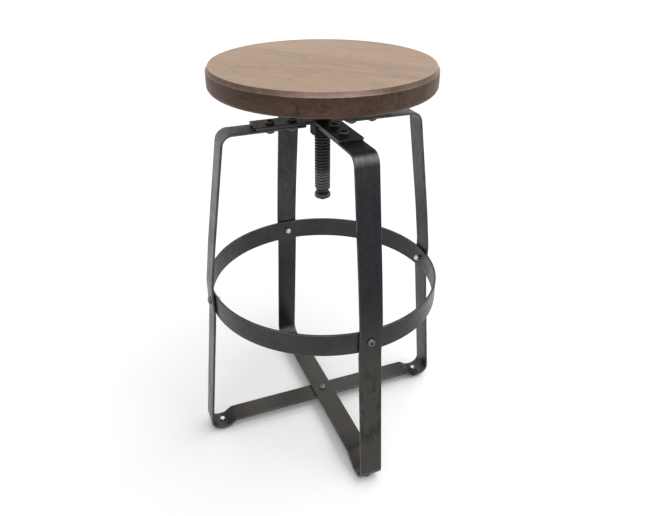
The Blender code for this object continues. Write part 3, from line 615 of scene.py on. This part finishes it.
seatSizes = {
    "coveDepth": 0.0034,
    "coveTurn": (6, 84),  # degrees of the cove's curve, clear of the corners at its ends
    "coveSteps": 9, "hollow": 0.35, "ledge": 0.0006, "arris": 0.0005, "wornDown": 0.002,
    "lowerRound": 0.009, "steps": 8, "count": 288,
}


# Board turned from the axis out: flat top, a cove under its edge down to a narrow ledge, then an upright
# side and a rounded lower edge. The cove lies between a straight bevel and a quarter ellipse, by its share
# of hollow.
def makeSeat():
    s = named(seatSizes)
    low, high = nodeBox("seat")
    radius, top, drop = high[0], high[2], woodLook["coveDrop"]
    inner = radius - s.ledge
    bend = np.radians(np.linspace(*s.coveTurn, s.coveSteps))
    back = (1 - s.hollow) * (1 - np.sin(bend)) + s.hollow * np.cos(bend)
    cove = zip(inner - s.coveDepth * back, top - drop * np.sin(bend), np.zeros(s.coveSteps))
    corners = [
        (0, top, 0), (inner - s.coveDepth, top, s.arris),
        *cove,
        (radius, top - drop, s.arris), (radius, low[2], s.lowerRound), (0, low[2], 0),
    ]
    outline, _, marks = roundedLine(corners, closed=False, steps=s.steps)
    marks = marks * (outline[:, 1] > top - drop - s.wornDown)
    addPiece("seatBoard", turned(outline, s.count), marks[:, None], "seat_wood", "seat", "seat_group")


makeSeat()

# Plate under the seat, and its wood screws

plateSizes = {
    "thick": 0.004, "edge": 0.0008, "boss": 0.02, "fillet": 0.003, "bossEdge": 0.0015,
    "socketDepth": 0.013, "socketGap": 0.0003, "socketEdge": 0.0005, "screwCircle": 0.055, "count": 128,
}
woodScrewSizes = {
    "shank": 0.0025, "bite": 0.02, "point": 0.002, "head": 0.005, "thick": 0.0028, "gap": 0.0002,
    "dome": 0.55, "rings": (0.0, 0.08, 0.16, 0.26, 0.36, 0.46, 0.56, 0.62, 0.7, 0.8, 0.9, 0.97, 1.0),
    "wornFrom": 0.9, "slot": 0.0012, "slotDepth": 0.0013, "slotEdge": 0.0002, "slotReach": 0.6,
    "count": 48,
}


# Flange and boss turned from the axis out: flat top, thin rim, fillet, boss and a socket for the screw.
def makeSeatPlate():
    s = named(plateSizes)
    low, high = nodeBox("seat_plate")
    flange, under, bossLow = high[0], high[2] - s.thick, low[2]
    socket = screwSizes["spigot"] + s.socketGap
    corners = [
        (0, high[2], 0), (flange, high[2], s.edge), (flange, under, s.edge),
        (s.boss, under, s.fillet), (s.boss, bossLow, s.bossEdge), (socket, bossLow, s.socketEdge),
        (socket, bossLow + s.socketDepth, 0), (0, bossLow + s.socketDepth, 0),
    ]
    addTurned("seatFlange", corners, s.count, "frame_steel", "seat_plate", "seat_group", closed=False)


# Pan head: a low dome, height falling as the fourth power of the radius, with a cross sunk in where the
# point lies within half a slot's width of either axis.
def makeWoodScrews():
    s = named(woodScrewSizes)
    angle = ringAngles(s.count)
    arm = np.abs((angle + np.pi / 4) % (np.pi / 2) - np.pi / 4)
    rows = []
    for share in s.rings:
        radius = share * s.head
        inSlot = np.clip((s.slot / 2 - radius * np.sin(arm)) / s.slotEdge, 0, 1) * (share < s.slotReach)
        height = s.thick * (1 - s.dome * share**4) - s.slotDepth * inSlot
        rows.append((radius, height, float(share > s.wornFrom)))
    rows += [(s.head, 0, 0), (s.shank, 0, 0)]
    rows += [(s.shank, -s.bite, 0), (0, -s.bite - s.point, 0)]
    shape = stacked(rows, angle)
    seat = nodeBox("seat_plate")[1][2] - plateSizes["thick"] - s.gap
    for number in range(1, 5):
        way = fullTurn * (number - 0.5) / 4
        place = (plateSizes["screwCircle"] * np.cos(way), plateSizes["screwCircle"] * np.sin(way), seat)
        node = f"seat_screw_{number}"
        addPlaced(f"woodScrew{number}", shape, place, (0, 0, -1), "bright_steel", node, "seat_group")


# Lifting screw, its end stop and the nut it turns in

screwSizes = {
    "radius": 0.013, "pitch": 0.005, "depth": 0.0022, "crest": 0.0014, "flank": 0.0011, "low": 0.4647,
    "high": 0.6178, "runIn": 1.1, "neckLow": 0.459, "neckIn": 0.0003, "neckEdge": 0.0005,
    "neckGap": 0.0002, "neckWear": 0.5, "pin": 0.0061, "pinLow": 0.45, "spigot": 0.00985,
    "spigotHigh": 0.6308, "rowsPerPitch": 16, "count": 56, "crease": 60,
}
stopSizes = {
    "bore": 0.0065, "boreEdge": 0.0005, "upperRound": 0.0024, "lowerRound": 0.0036, "wear": 0.1,
    "scorch": 0.4, "steps": 8, "count": 72,
}
hubNutSizes = {
    "flats": 0.035, "turn": np.radians(8), "chamfer": 0.0035,
    "lowCone": (0.0042, 12, 1.62),  # height with close rows, their number, and the cone's slope
    "highCone": (0.0026, 8, 1.7), "edgeBlur": 0.0007, "mouth": 0.0012, "mouthWear": 0.4,
    "threadBack": 0.0008, "threadRows": 60, "clear": 0.0004, "scorch": 1.0, "count": 180,
}


# Right-hand trapezoid thread: at each angle and height, how far the point lies from the middle of the crest
# along the axis; inside half the crest it is full radius, then the flank runs down to the root. Gives
# radius and crest.
def threadRadius(angle, height):
    s = named(screwSizes)
    phase = ((height - s.low) / s.pitch - angle / fullTurn) % 1
    away = np.abs(phase - 0.5) * s.pitch
    fall = np.clip((away - s.crest / 2) / s.flank, 0, 1)
    return s.radius - s.depth * fall * fall * (3 - 2 * fall), 1 - fall


# Rows up the axis: the pin under the stop, the neck, the thread rising out of the core, and the spigot.
def makeLiftingScrew():
    s = named(screwSizes)
    angle = ringAngles(s.count)
    core = s.radius - s.depth
    neck = core - s.neckIn
    levels = np.arange(s.low, s.high, s.pitch / s.rowsPerPitch)[:, None]
    thread, crest = threadRadius(angle[None, :], levels)
    thread = np.minimum(thread, core + (levels - s.low) * s.runIn)
    rows = [(0, s.pinLow, 0), (s.pin, s.pinLow, 0), (s.pin, s.neckLow, 0)]
    rows += [(neck - s.neckEdge, s.neckLow, 0), (neck, s.neckLow + s.neckEdge, s.neckWear)]
    rows += [(neck, s.low - s.neckGap, 0)]
    rows += list(zip(thread, levels, crest))
    rows += [(s.spigot, s.high, 0), (s.spigot, s.spigotHigh, 0), (0, s.spigotHigh, 0)]
    grid, wear = stacked(rows, angle)
    addPiece("liftingScrew", grid, wear, "screw_steel", "screw_rod", "seat_group", crease=s.crease)


# Ring turned round the axis: rounded outer edges and a plain bore.
def makeStopCap():
    s = named(stopSizes)
    low, high = nodeBox("stop_cap")
    corners = [
        (high[0], high[2], s.upperRound), (high[0], low[2], s.lowerRound),
        (s.bore, low[2], s.boreEdge), (s.bore, high[2], s.boreEdge),
    ]
    given = {"steps": s.steps, "share": s.wear, "scorch": s.scorch}
    addTurned("stopCap", corners, s.count, "screw_steel", "stop_cap", "end_stop", **given)


# Tall hexagon: at each height the smaller of the hexagon's radius and the two turned cones at its ends; the
# bore repeats the screw's thread with a running clearance.
def makeHubNut():
    s = named(hubNutSizes)
    low, high = nodeBox("hub_nut")[0][2], nodeBox("hub_nut")[1][2]
    angle = ringAngles(s.count)
    corner = s.flats / 2 / np.cos(np.pi / 6)
    outer = hexRadius(angle - s.turn, s.flats)
    tall, mouth = high - low, screwSizes["radius"] + s.mouth
    lowTall, lowRows, lowSlope = s.lowCone
    highTall, highRows, highSlope = s.highCone
    levels = [np.linspace(0, lowTall, lowRows), [tall / 2], tall - np.linspace(highTall, 0, highRows)]
    rows = []
    for level in np.concatenate(levels):
        limit = min(corner - s.chamfer + lowSlope * level, s.flats / 2 + highSlope * (tall - level))
        edge = np.clip(1 - np.abs(outer - limit) / s.edgeBlur, 0, 1)
        rows.append((np.minimum(outer, limit), low + level, edge))
    rows.append((mouth, high, 0))
    for level in np.linspace(high - s.threadBack, low + s.threadBack, s.threadRows):
        rows.append((threadRadius(angle, level)[0] + s.clear, level, 0))
    rows.append((mouth, low, s.mouthWear))
    grid, wear = stacked(rows, angle)
    addPiece("hubNut", grid, wear, "screw_steel", "hub_nut", loop=True, scorch=s.scorch)


makeSeatPlate()
makeWoodScrews()
print("seat made")
makeLiftingScrew()
makeStopCap()
makeHubNut()
print("screw and nut made")

# Cross-shaped plate on the four arms

# The hub plate carries a little painted sheen, a painted highlight.
hubPlateSizes = {
    "half": 0.02, "inner": 0.004, "outer": 0.002, "cornerSteps": 6, "edge": 0.0008, "edgeSteps": 5,
    "flatBack": 0.0003, "hole": 0.0145, "holeEdge": 0.0005, "holeWear": 0.5, "wear": 0.1,
    "rubbed": 0.13,
}


# Cross outline carried up the plate, drawn in at both edges by a quarter round, and closed at the hole.
def makeHubPlate():
    s = named(hubPlateSizes)
    low, high = nodeBox("hub_plate")
    far, half = high[0], s.half
    arm = np.array([(far, -half, s.outer), (far, half, s.outer), (half, half, s.inner)])
    corners = []
    for turn in ringAngles(4):
        across = arm[:, 0] * np.cos(turn) - arm[:, 1] * np.sin(turn)
        up = arm[:, 0] * np.sin(turn) + arm[:, 1] * np.cos(turn)
        corners += list(zip(across, up, arm[:, 2]))
    outline, ways, _ = roundedLine(corners, steps=s.cornerSteps)
    outward = np.stack([ways[:, 1], -ways[:, 0]], -1)
    angle = np.arctan2(outline[:, 1], outline[:, 0])
    circle = np.stack([np.cos(angle), np.sin(angle)], -1)
    bend = np.linspace(0, np.pi / 2, s.edgeSteps)
    inset = s.edge * (1 - np.sin(bend))
    rise = s.edge * (1 - np.cos(bend))
    rows = [(outline - outward * back, low[2] + lift, 1.0) for back, lift in zip(inset, rise)]
    rows += [(outline - outward * back, high[2] - lift, 1.0) for back, lift in zip(inset[::-1], rise[::-1])]
    flat = outline - outward * (s.edge + s.flatBack)
    hole, mouth = circle * s.hole, circle * (s.hole + s.holeEdge)
    rows += [(flat, high[2], 0), (mouth, high[2], s.holeWear)]
    rows += [(hole, high[2] - s.holeEdge, 0), (hole, low[2] + s.holeEdge, 0)]
    rows += [(mouth, low[2], 0), (flat, low[2], 0)]
    plan = np.stack([row[0] for row in rows])
    level = np.broadcast_to(np.array([row[1] for row in rows])[:, None, None], plan.shape[:2] + (1,))
    wear = s.wear * np.array([row[2] for row in rows])[:, None]
    form = np.concatenate([plan, level], -1)
    addPiece("hubPlate", form, wear, "frame_steel", "hub_plate", loop=True, rubbed=s.rubbed)


makeHubPlate()

# Bent flat-bar frames

strapSizes = {
    "width": 0.039, "thick": 0.004, "edge": 0.001, "sideWear": 0.6, "armEnd": 0.0341, "armMid": 0.581,
    "armCorner": 0.1665, "armBend": 0.018, "bowRadius": 0.195, "bow": 0.3943, "bowBend": 0.9,
    "legRadius": 0.2047, "kink": 0.3193, "kinkBend": 0.13, "landLow": 0.2653, "landBend": 0.08,
    "footCorner": 0.2315, "footMid": 0.0093, "footBend": 0.018, "joggle": 0.1998, "joggleBend": 0.006,
    "bendSteps": 14, "bendGuard": 0.0005, "endThin": 0.85, "endNarrow": 0.15, "scorchReach": 0.05,
    "scorchTop": 0.05, "bendDrop": 0.0153, "bendRub": 0.5,
}
crossLifts = {"frame_x": (0.1852, 0.0197), "frame_y": (0.1704, 0.024)}
# Share of painted sheen on each frame's arms, a painted highlight.
armSheens = {"frame_x": 0.08, "frame_y": 0.45}


# Rounded strap section carried along the bent centre line: arm, leg, foot, joggle up to the cross strap,
# and the same again mirrored; each point is the path's point plus the section's offset along the path's
# normal. The joggle is marked as scorched and shaded, fading along the cross strap: partly a heat tint, and
# on its slope partly painted shade. The arm and its bend are marked with painted sheen, a painted
# highlight.
def makeFrame(name, node):
    s = named(strapSizes)
    lift, crossUp = crossLifts[node]
    half = [
        (s.armEnd, s.armMid, 0), (s.armCorner, s.armMid, s.armBend),
        (s.bowRadius, s.bow, s.bowBend), (s.legRadius, s.kink, s.kinkBend),
        (s.legRadius, s.landLow, s.landBend), (s.footCorner, s.footMid, s.footBend),
        (s.joggle, s.footMid, s.joggleBend), (lift, crossUp, s.joggleBend),
        (lift - s.scorchReach, crossUp, 0),
    ]
    mirrored = [(-across, up, bend) for across, up, bend in reversed(half)]
    path, ways, arcs = roundedLine(half + mirrored, closed=False, steps=s.bendSteps, guard=s.bendGuard)
    wide, thick = s.width / 2, s.thick / 2
    box = [(wide, thick), (-wide, thick), (-wide, -thick), (wide, -thick)]
    section, _, marks = roundedLine([(*corner, s.edge) for corner in box])
    marks = np.maximum(marks, s.sideWear * np.isclose(np.abs(section[:, 0]), wide))

    out, up = np.abs(path[:, 0]), path[:, 1]
    scorch = np.clip((out - lift) / s.scorchReach + 1, 0, 1)
    scorch = scorch * (up < s.scorchTop) * (out < s.joggle + s.joggleBend)
    # Painted highlight down the middle of each arm's bend, and along the arms.
    bent = arcs * np.sin(np.pi * np.clip((s.armMid - up) / s.bendDrop, 0, 1))
    rubbed = np.maximum(s.bendRub * bent, armSheens[node] * (up > s.armMid - s.thick))

    normal = np.stack([-ways[:, 1], ways[:, 0]], -1)
    grow = np.ones((len(path), 1))
    grow[[0, -1]] = s.endThin
    across = section[:, 0] * (1 - (1 - grow) * s.endNarrow)
    offset = section[:, 1] * grow
    run = path[:, :1] + normal[:, :1] * offset
    rise = path[:, 1:] + normal[:, 1:] * offset
    grid = np.stack([run, across, rise] if node == "frame_x" else [across, run, rise], -1)
    given = {"scorch": scorch[:, None], "rubbed": rubbed[:, None]}
    addPiece(name, grid, marks, "frame_steel", node, caps=True, alongRows=True, **given)


makeFrame("frameLeftRight", "frame_x")
makeFrame("frameFrontRear", "frame_y")

ringSizes = {"thick": 0.004, "edge": 0.001, "count": 288}


# Hoop: a flat bar's rounded section carried once round the upright axis.
def makeFootRing():
    s = named(ringSizes)
    low, high = nodeBox("foot_ring")
    outer, inner = high[0], high[0] - s.thick
    box = [(outer, low[2]), (outer, high[2]), (inner, high[2]), (inner, low[2])]
    corners = [(*corner, s.edge) for corner in box]
    addTurned("footRing", corners, s.count, "frame_steel", "foot_ring")


makeFootRing()
print("frames and foot ring made")

# Bolts and nuts

boltSizes = {
    "hub": {"shank": 0.004, "head": 0.007, "thick": 0.0044, "long": 0.0174, "socket": 0.005, "sunk": 0.7},
    "centre": {"shank": 0.004, "head": 0.007, "thick": 0.0044, "long": 0.0169, "socket": 0.0},
    "ring": {"shank": 0.003, "head": 0.007, "thick": 0.0038, "long": 0.014, "socket": 0.004, "sunk": 0.38},
    "stop": {"shank": 0.003, "head": 0.0065, "thick": 0.0035, "long": 0.016, "socket": 0.004, "sunk": 0.38},
}
boltShape = {
    "rim": 0.16,  # shares of the head's height and radius
    "crown": 0.5, "domeSteps": 12, "domeWear": 0.25, "wornFrom": 1.2, "rimEdge": 0.0003,
    "rimWear": 0.2,
    "floorRings": (0.5, 0.98),  # shares of the socket's radius
    "floorDish": 0.0004, "floorEdge": 0.0002, "mouthDrop": 0.0003, "mouthOut": 0.0002, "mouthWear": 0.6,
    "tip": 0.0006, "tipWear": 0.5,
}
nutSizes = {
    "hub": {"flats": 0.013, "thick": 0.0065, "bore": 0.0042},
    "glide": {"flats": 0.008, "thick": 0.0037, "bore": 0.0027},
    "ring": {"flats": 0.01, "thick": 0.005, "bore": 0.0032, "dome": 0.004},
}
nutShape = {
    "cone": 0.95,  # share of the flats at each end
    "slope": 1.7, "coneRows": 5, "edgeBlur": 0.0004, "mouth": 0.0004, "mouthWear": 0.3, "cap": 0.44,
    "capEdge": 0.0002, "capSteps": 12, "capWear": 0.3, "boreOver": 0.001,
}
fastenerCount = 72


# Button head: a quarter ellipse from a flat crown down to the rim, with a hexagon socket sunk in the crown;
# with no socket the ellipse starts on the axis, as a plain dome.
def buttonBolt(kind):
    s, shape = named(boltSizes[kind]), named(boltShape)
    angle = ringAngles(fastenerCount)
    high, rim, tip = s.thick, s.thick * shape.rim, -s.long
    rows, crown = [], 0
    if s.socket:
        socket, sunk, crown = hexRadius(angle, s.socket), high * s.sunk, s.head * shape.crown
        rows += [(0, sunk - shape.floorDish, 0)]
        rows += [(socket * share, sunk, 0) for share in shape.floorRings]
        rows += [(socket, sunk + shape.floorEdge, 0), (socket, high - shape.mouthDrop, 0)]
        rows += [(socket + shape.mouthOut, high, shape.mouthWear)]
    for bend in np.linspace(0, np.pi / 2, shape.domeSteps):
        edge = 1.0 if bend > shape.wornFrom else shape.domeWear
        rows.append((crown + (s.head - crown) * np.sin(bend), rim + (high - rim) * np.cos(bend), edge))
    rows += [(s.head, shape.rimEdge, 1.0), (s.head - shape.rimEdge, 0, shape.rimWear)]
    rows += [(s.shank, 0, 0), (s.shank, tip + shape.tip, 0)]
    rows += [(s.shank - shape.tip, tip, shape.tipWear), (0, tip, 0)]
    return stacked(rows, angle)


# Hexagon rows: at each height the smaller of the hexagon's radius and a cone at each end.
def hexRows(angle, flats, thick):
    shape = named(nutShape)
    outer, across = hexRadius(angle, flats), shape.cone * flats / 2
    rise = (outer.max() - across) / shape.slope
    levels = np.linspace(0, rise, shape.coneRows)
    rows = []
    for level in np.concatenate([levels, thick - levels[::-1]]):
        limit = across + shape.slope * min(level, thick - level)
        edge = np.clip(1 - np.abs(outer - limit) / shape.edgeBlur, 0, 1)
        rows.append((np.minimum(outer, limit), level, edge))
    return rows


# Hexagon nut, closed through its bore.
def hexNut(kind):
    s, mouth = named(nutSizes[kind]), nutShape["mouth"]
    angle = ringAngles(fastenerCount)
    rows = hexRows(angle, s.flats, s.thick)
    rows += [(s.bore + mouth, s.thick, nutShape["mouthWear"]), (s.bore, s.thick - mouth, 0)]
    rows += [(s.bore, mouth, 0), (s.bore + mouth, 0, 0)]
    return stacked(rows, angle)


# Dome nut: the hexagon with a ball cap on its outer end, each cap row a circle of the ellipse.
def domeNut(kind):
    s, shape = named(nutSizes[kind]), named(nutShape)
    angle = ringAngles(fastenerCount)
    cap, sunk = s.flats * shape.cap, s.thick + shape.boreOver
    rows = [(0, sunk, 0), (s.bore, sunk, 0)]
    rows += [(s.bore, shape.mouth, 0), (s.bore + shape.mouth, 0, 0)]
    rows += hexRows(angle, s.flats, s.thick)
    rows.append((cap + shape.capEdge, s.thick, 0))
    for bend in np.linspace(0, np.pi / 2, shape.capSteps):
        rows.append((cap * np.cos(bend), s.thick + s.dome * np.sin(bend), shape.capWear))
    return stacked(rows, angle)


boltPlaces = {
    "inner": 0.0505, "outer": 0.087, "hubHead": 0.5881, "hubNut": 0.5787, "ring": 0.2893,
    "ringHead": 0.207, "ringNut": 0.198, "centreHead": 0.0263, "centreNut": 0.0174,
    "stopHead": 0.4494,
}


# Heads and nuts moved to their holes: two bolts on each arm, one through each leg and the ring, and one
# where the straps cross; the stop screw hangs under the lifting screw.
def makeFasteners():
    p = named(boltPlaces)
    up, down = (0, 0, 1), (0, 0, -1)
    bolt, nut = buttonBolt("hub"), hexNut("hub")
    ringBolt, ringNut = buttonBolt("ring"), domeNut("ring")
    for leg, way in legs.items():
        out = np.array(way, float)
        side = leg.capitalize()
        for end in ("inner", "outer"):
            label, hole, arm = side + end.capitalize(), f"{leg}_{end}", out * boltPlaces[end]
            place = arm + (0, 0, p.hubHead)
            addPlaced("hubBolt" + label, bolt, place, up, "bolt_steel", "hub_bolt_" + hole)
            place = arm + (0, 0, p.hubNut)
            node = "hub_bolt_nut_" + hole
            addPlaced("hubBoltNut" + label, nut, place, down, "bolt_steel", node, loop=True)
        place = out * p.ringHead + (0, 0, p.ring)
        addPlaced("ringBolt" + side, ringBolt, place, out, "bolt_steel", f"ring_bolt_{leg}")
        place = out * p.ringNut + (0, 0, p.ring)
        addPlaced("ringNut" + side, ringNut, place, -out, "bright_steel", f"ring_nut_{leg}")
    addPlaced("centreBolt", buttonBolt("centre"), (0, 0, p.centreHead), up, "bolt_steel", "centre_bolt")
    addPlaced("centreNut", nut, (0, 0, p.centreNut), down, "bolt_steel", "centre_nut", loop=True)
    stop, place = buttonBolt("stop"), (0, 0, p.stopHead)
    addPlaced("stopScrew", stop, place, down, "bolt_steel", "stop_screw", "seat_group")


makeFasteners()

# Glides under the feet

glideSizes = {
    "edge": 0.001, "recess": 0.00575, "recessEdge": 0.0003, "sunk": 0.0025, "bore": 0.0027, "count": 72,
}
glideScrewSizes = {
    "head": 0.00475, "headEdge": 0.0004, "thick": 0.0018, "underEdge": 0.0003, "shank": 0.0025,
    "tipEdge": 0.0006, "count": 40,
}


# Pad turned round its own axis, with a recess below for the screw's head and a hole through; the screw is
# turned too, and its nut stands on the foot.
def makeGlides():
    s, t = named(glideSizes), named(glideScrewSizes)
    nut = hexNut("glide")
    for leg in legs:
        side = leg.capitalize()
        low, high = nodeBox(f"glide_{leg}")
        foot = (low + high) / 2 * (1, 1, 0)
        radius = (high[0] - low[0]) / 2
        corners = [
            (radius, low[2], s.edge), (radius, high[2], s.edge), (s.bore, high[2], 0),
            (s.bore, s.sunk, 0), (s.recess, s.sunk, 0), (s.recess, low[2], s.recessEdge),
        ]
        addTurned("glide" + side, corners, s.count, "glide_nylon", f"glide_{leg}", place=foot)
        low, high = nodeBox(f"glide_screw_{leg}")
        corners = [
            (0, low[2], 0), (t.head, low[2], t.headEdge), (t.head, low[2] + t.thick, t.underEdge),
            (t.shank, low[2] + t.thick, 0), (t.shank, high[2], t.tipEdge), (0, high[2], 0),
        ]
        node, given = f"glide_screw_{leg}", {"closed": False, "place": foot}
        addTurned("glideScrew" + side, corners, t.count, "bright_steel", node, **given)
        node, place = f"glide_nut_{leg}", foot + (0, 0, nodeBox(f"glide_nut_{leg}")[0][2])
        addPlaced("glideNut" + side, nut, place, (0, 0, 1), "bright_steel", node, loop=True)


makeGlides()
print("fasteners and glides made")

# Floor, light and camera

# The floor is seen almost white, with a faint glow, and gives back less light than that to the stool.
studio = {
    "floorReach": 40.0, "floorSeen": (0.97, 0.97, 0.97, 1), "floorGlow": 0.08,
    "floorBounce": (0.34, 0.34, 0.34, 1), "skyLight": 0.16, "skySeen": 1.0,
}


# One light-path value: 1 for rays that see the scene directly, in a mirror or through glass.
def seenRays(tree):
    path = addNode(tree, "LightPath").outputs
    seen = calc(tree, "MAXIMUM", path["Is Camera Ray"], path["Is Glossy Ray"])
    return calc(tree, "MAXIMUM", seen, path["Is Transmission Ray"])


def makeFloor():
    finish, tree, shader = newFinish("paleFloor")
    seen = seenRays(tree)
    colour = mix(tree, seen, studio["floorBounce"], studio["floorSeen"])
    tree.links.new(colour, shader["Base Color"])
    shader["Emission Color"].default_value = (1, 1, 1, 1)
    tree.links.new(times(tree, seen, studio["floorGlow"]), shader["Emission Strength"])
    shader["Roughness"].default_value = 1.0
    shader["Specular IOR Level"].default_value = 0.0
    far = studio["floorReach"]
    mesh = bpy.data.meshes.new("floor")
    mesh.from_pydata([(-far, -far, 0), (far, -far, 0), (far, far, 0), (-far, far, 0)], [], [(0, 1, 2, 3)])
    mesh.materials.append(finish)
    floor = addObject("floor", mesh)


def makeSky():
    world = bpy.data.worlds.new("studioSky")
    scene.world = world
    world.use_nodes = True
    tree = world.node_tree
    strength = spread(tree, seenRays(tree), 0.0, 1.0, studio["skyLight"], studio["skySeen"])
    background = tree.nodes["Background"]
    background.inputs["Color"].default_value = (1, 1, 1, 1)
    tree.links.new(strength, background.inputs["Strength"])


# Soft suns: the direction each one comes from, its strength and its width in degrees.
suns = {
    "keySun": {"from": (0.52, 0.05, 1.0), "strength": 1.0, "width": 50},
    "topSun": {"from": (-0.05, 0.05, 1.0), "strength": 1.1, "width": 120},
    "frontSun": {"from": (0.1, -0.52, 0.8), "strength": 1.05, "width": 52},
}


def makeSuns():
    for name, sun in suns.items():
        lamp = bpy.data.lights.new(name, "SUN")
        lamp.energy = sun["strength"]
        lamp.angle = np.radians(sun["width"])
        holder = addObject(name, lamp)
        holder.rotation_euler = Vector(sun["from"]).to_track_quat("Z", "Y").to_euler()


view = {"eye": (-0.34819, -0.8895, 0.8831), "aim": (0.0, 0.0, 0.32927), "lens": 34.433, "sensor": 36.0}


def makeCamera():
    lens = bpy.data.cameras.new("camera")
    lens.lens = view["lens"]
    lens.sensor_width = view["sensor"]
    lens.sensor_fit = "HORIZONTAL"
    camera = addObject("camera", lens)
    camera.location = view["eye"]
    look = Vector(view["aim"]) - Vector(view["eye"])
    camera.rotation_euler = look.to_track_quat("-Z", "Y").to_euler()
    scene.camera = camera


makeFloor()
makeSky()
makeSuns()
makeCamera()
scene.view_settings.view_transform = "Standard"
print("studio made")
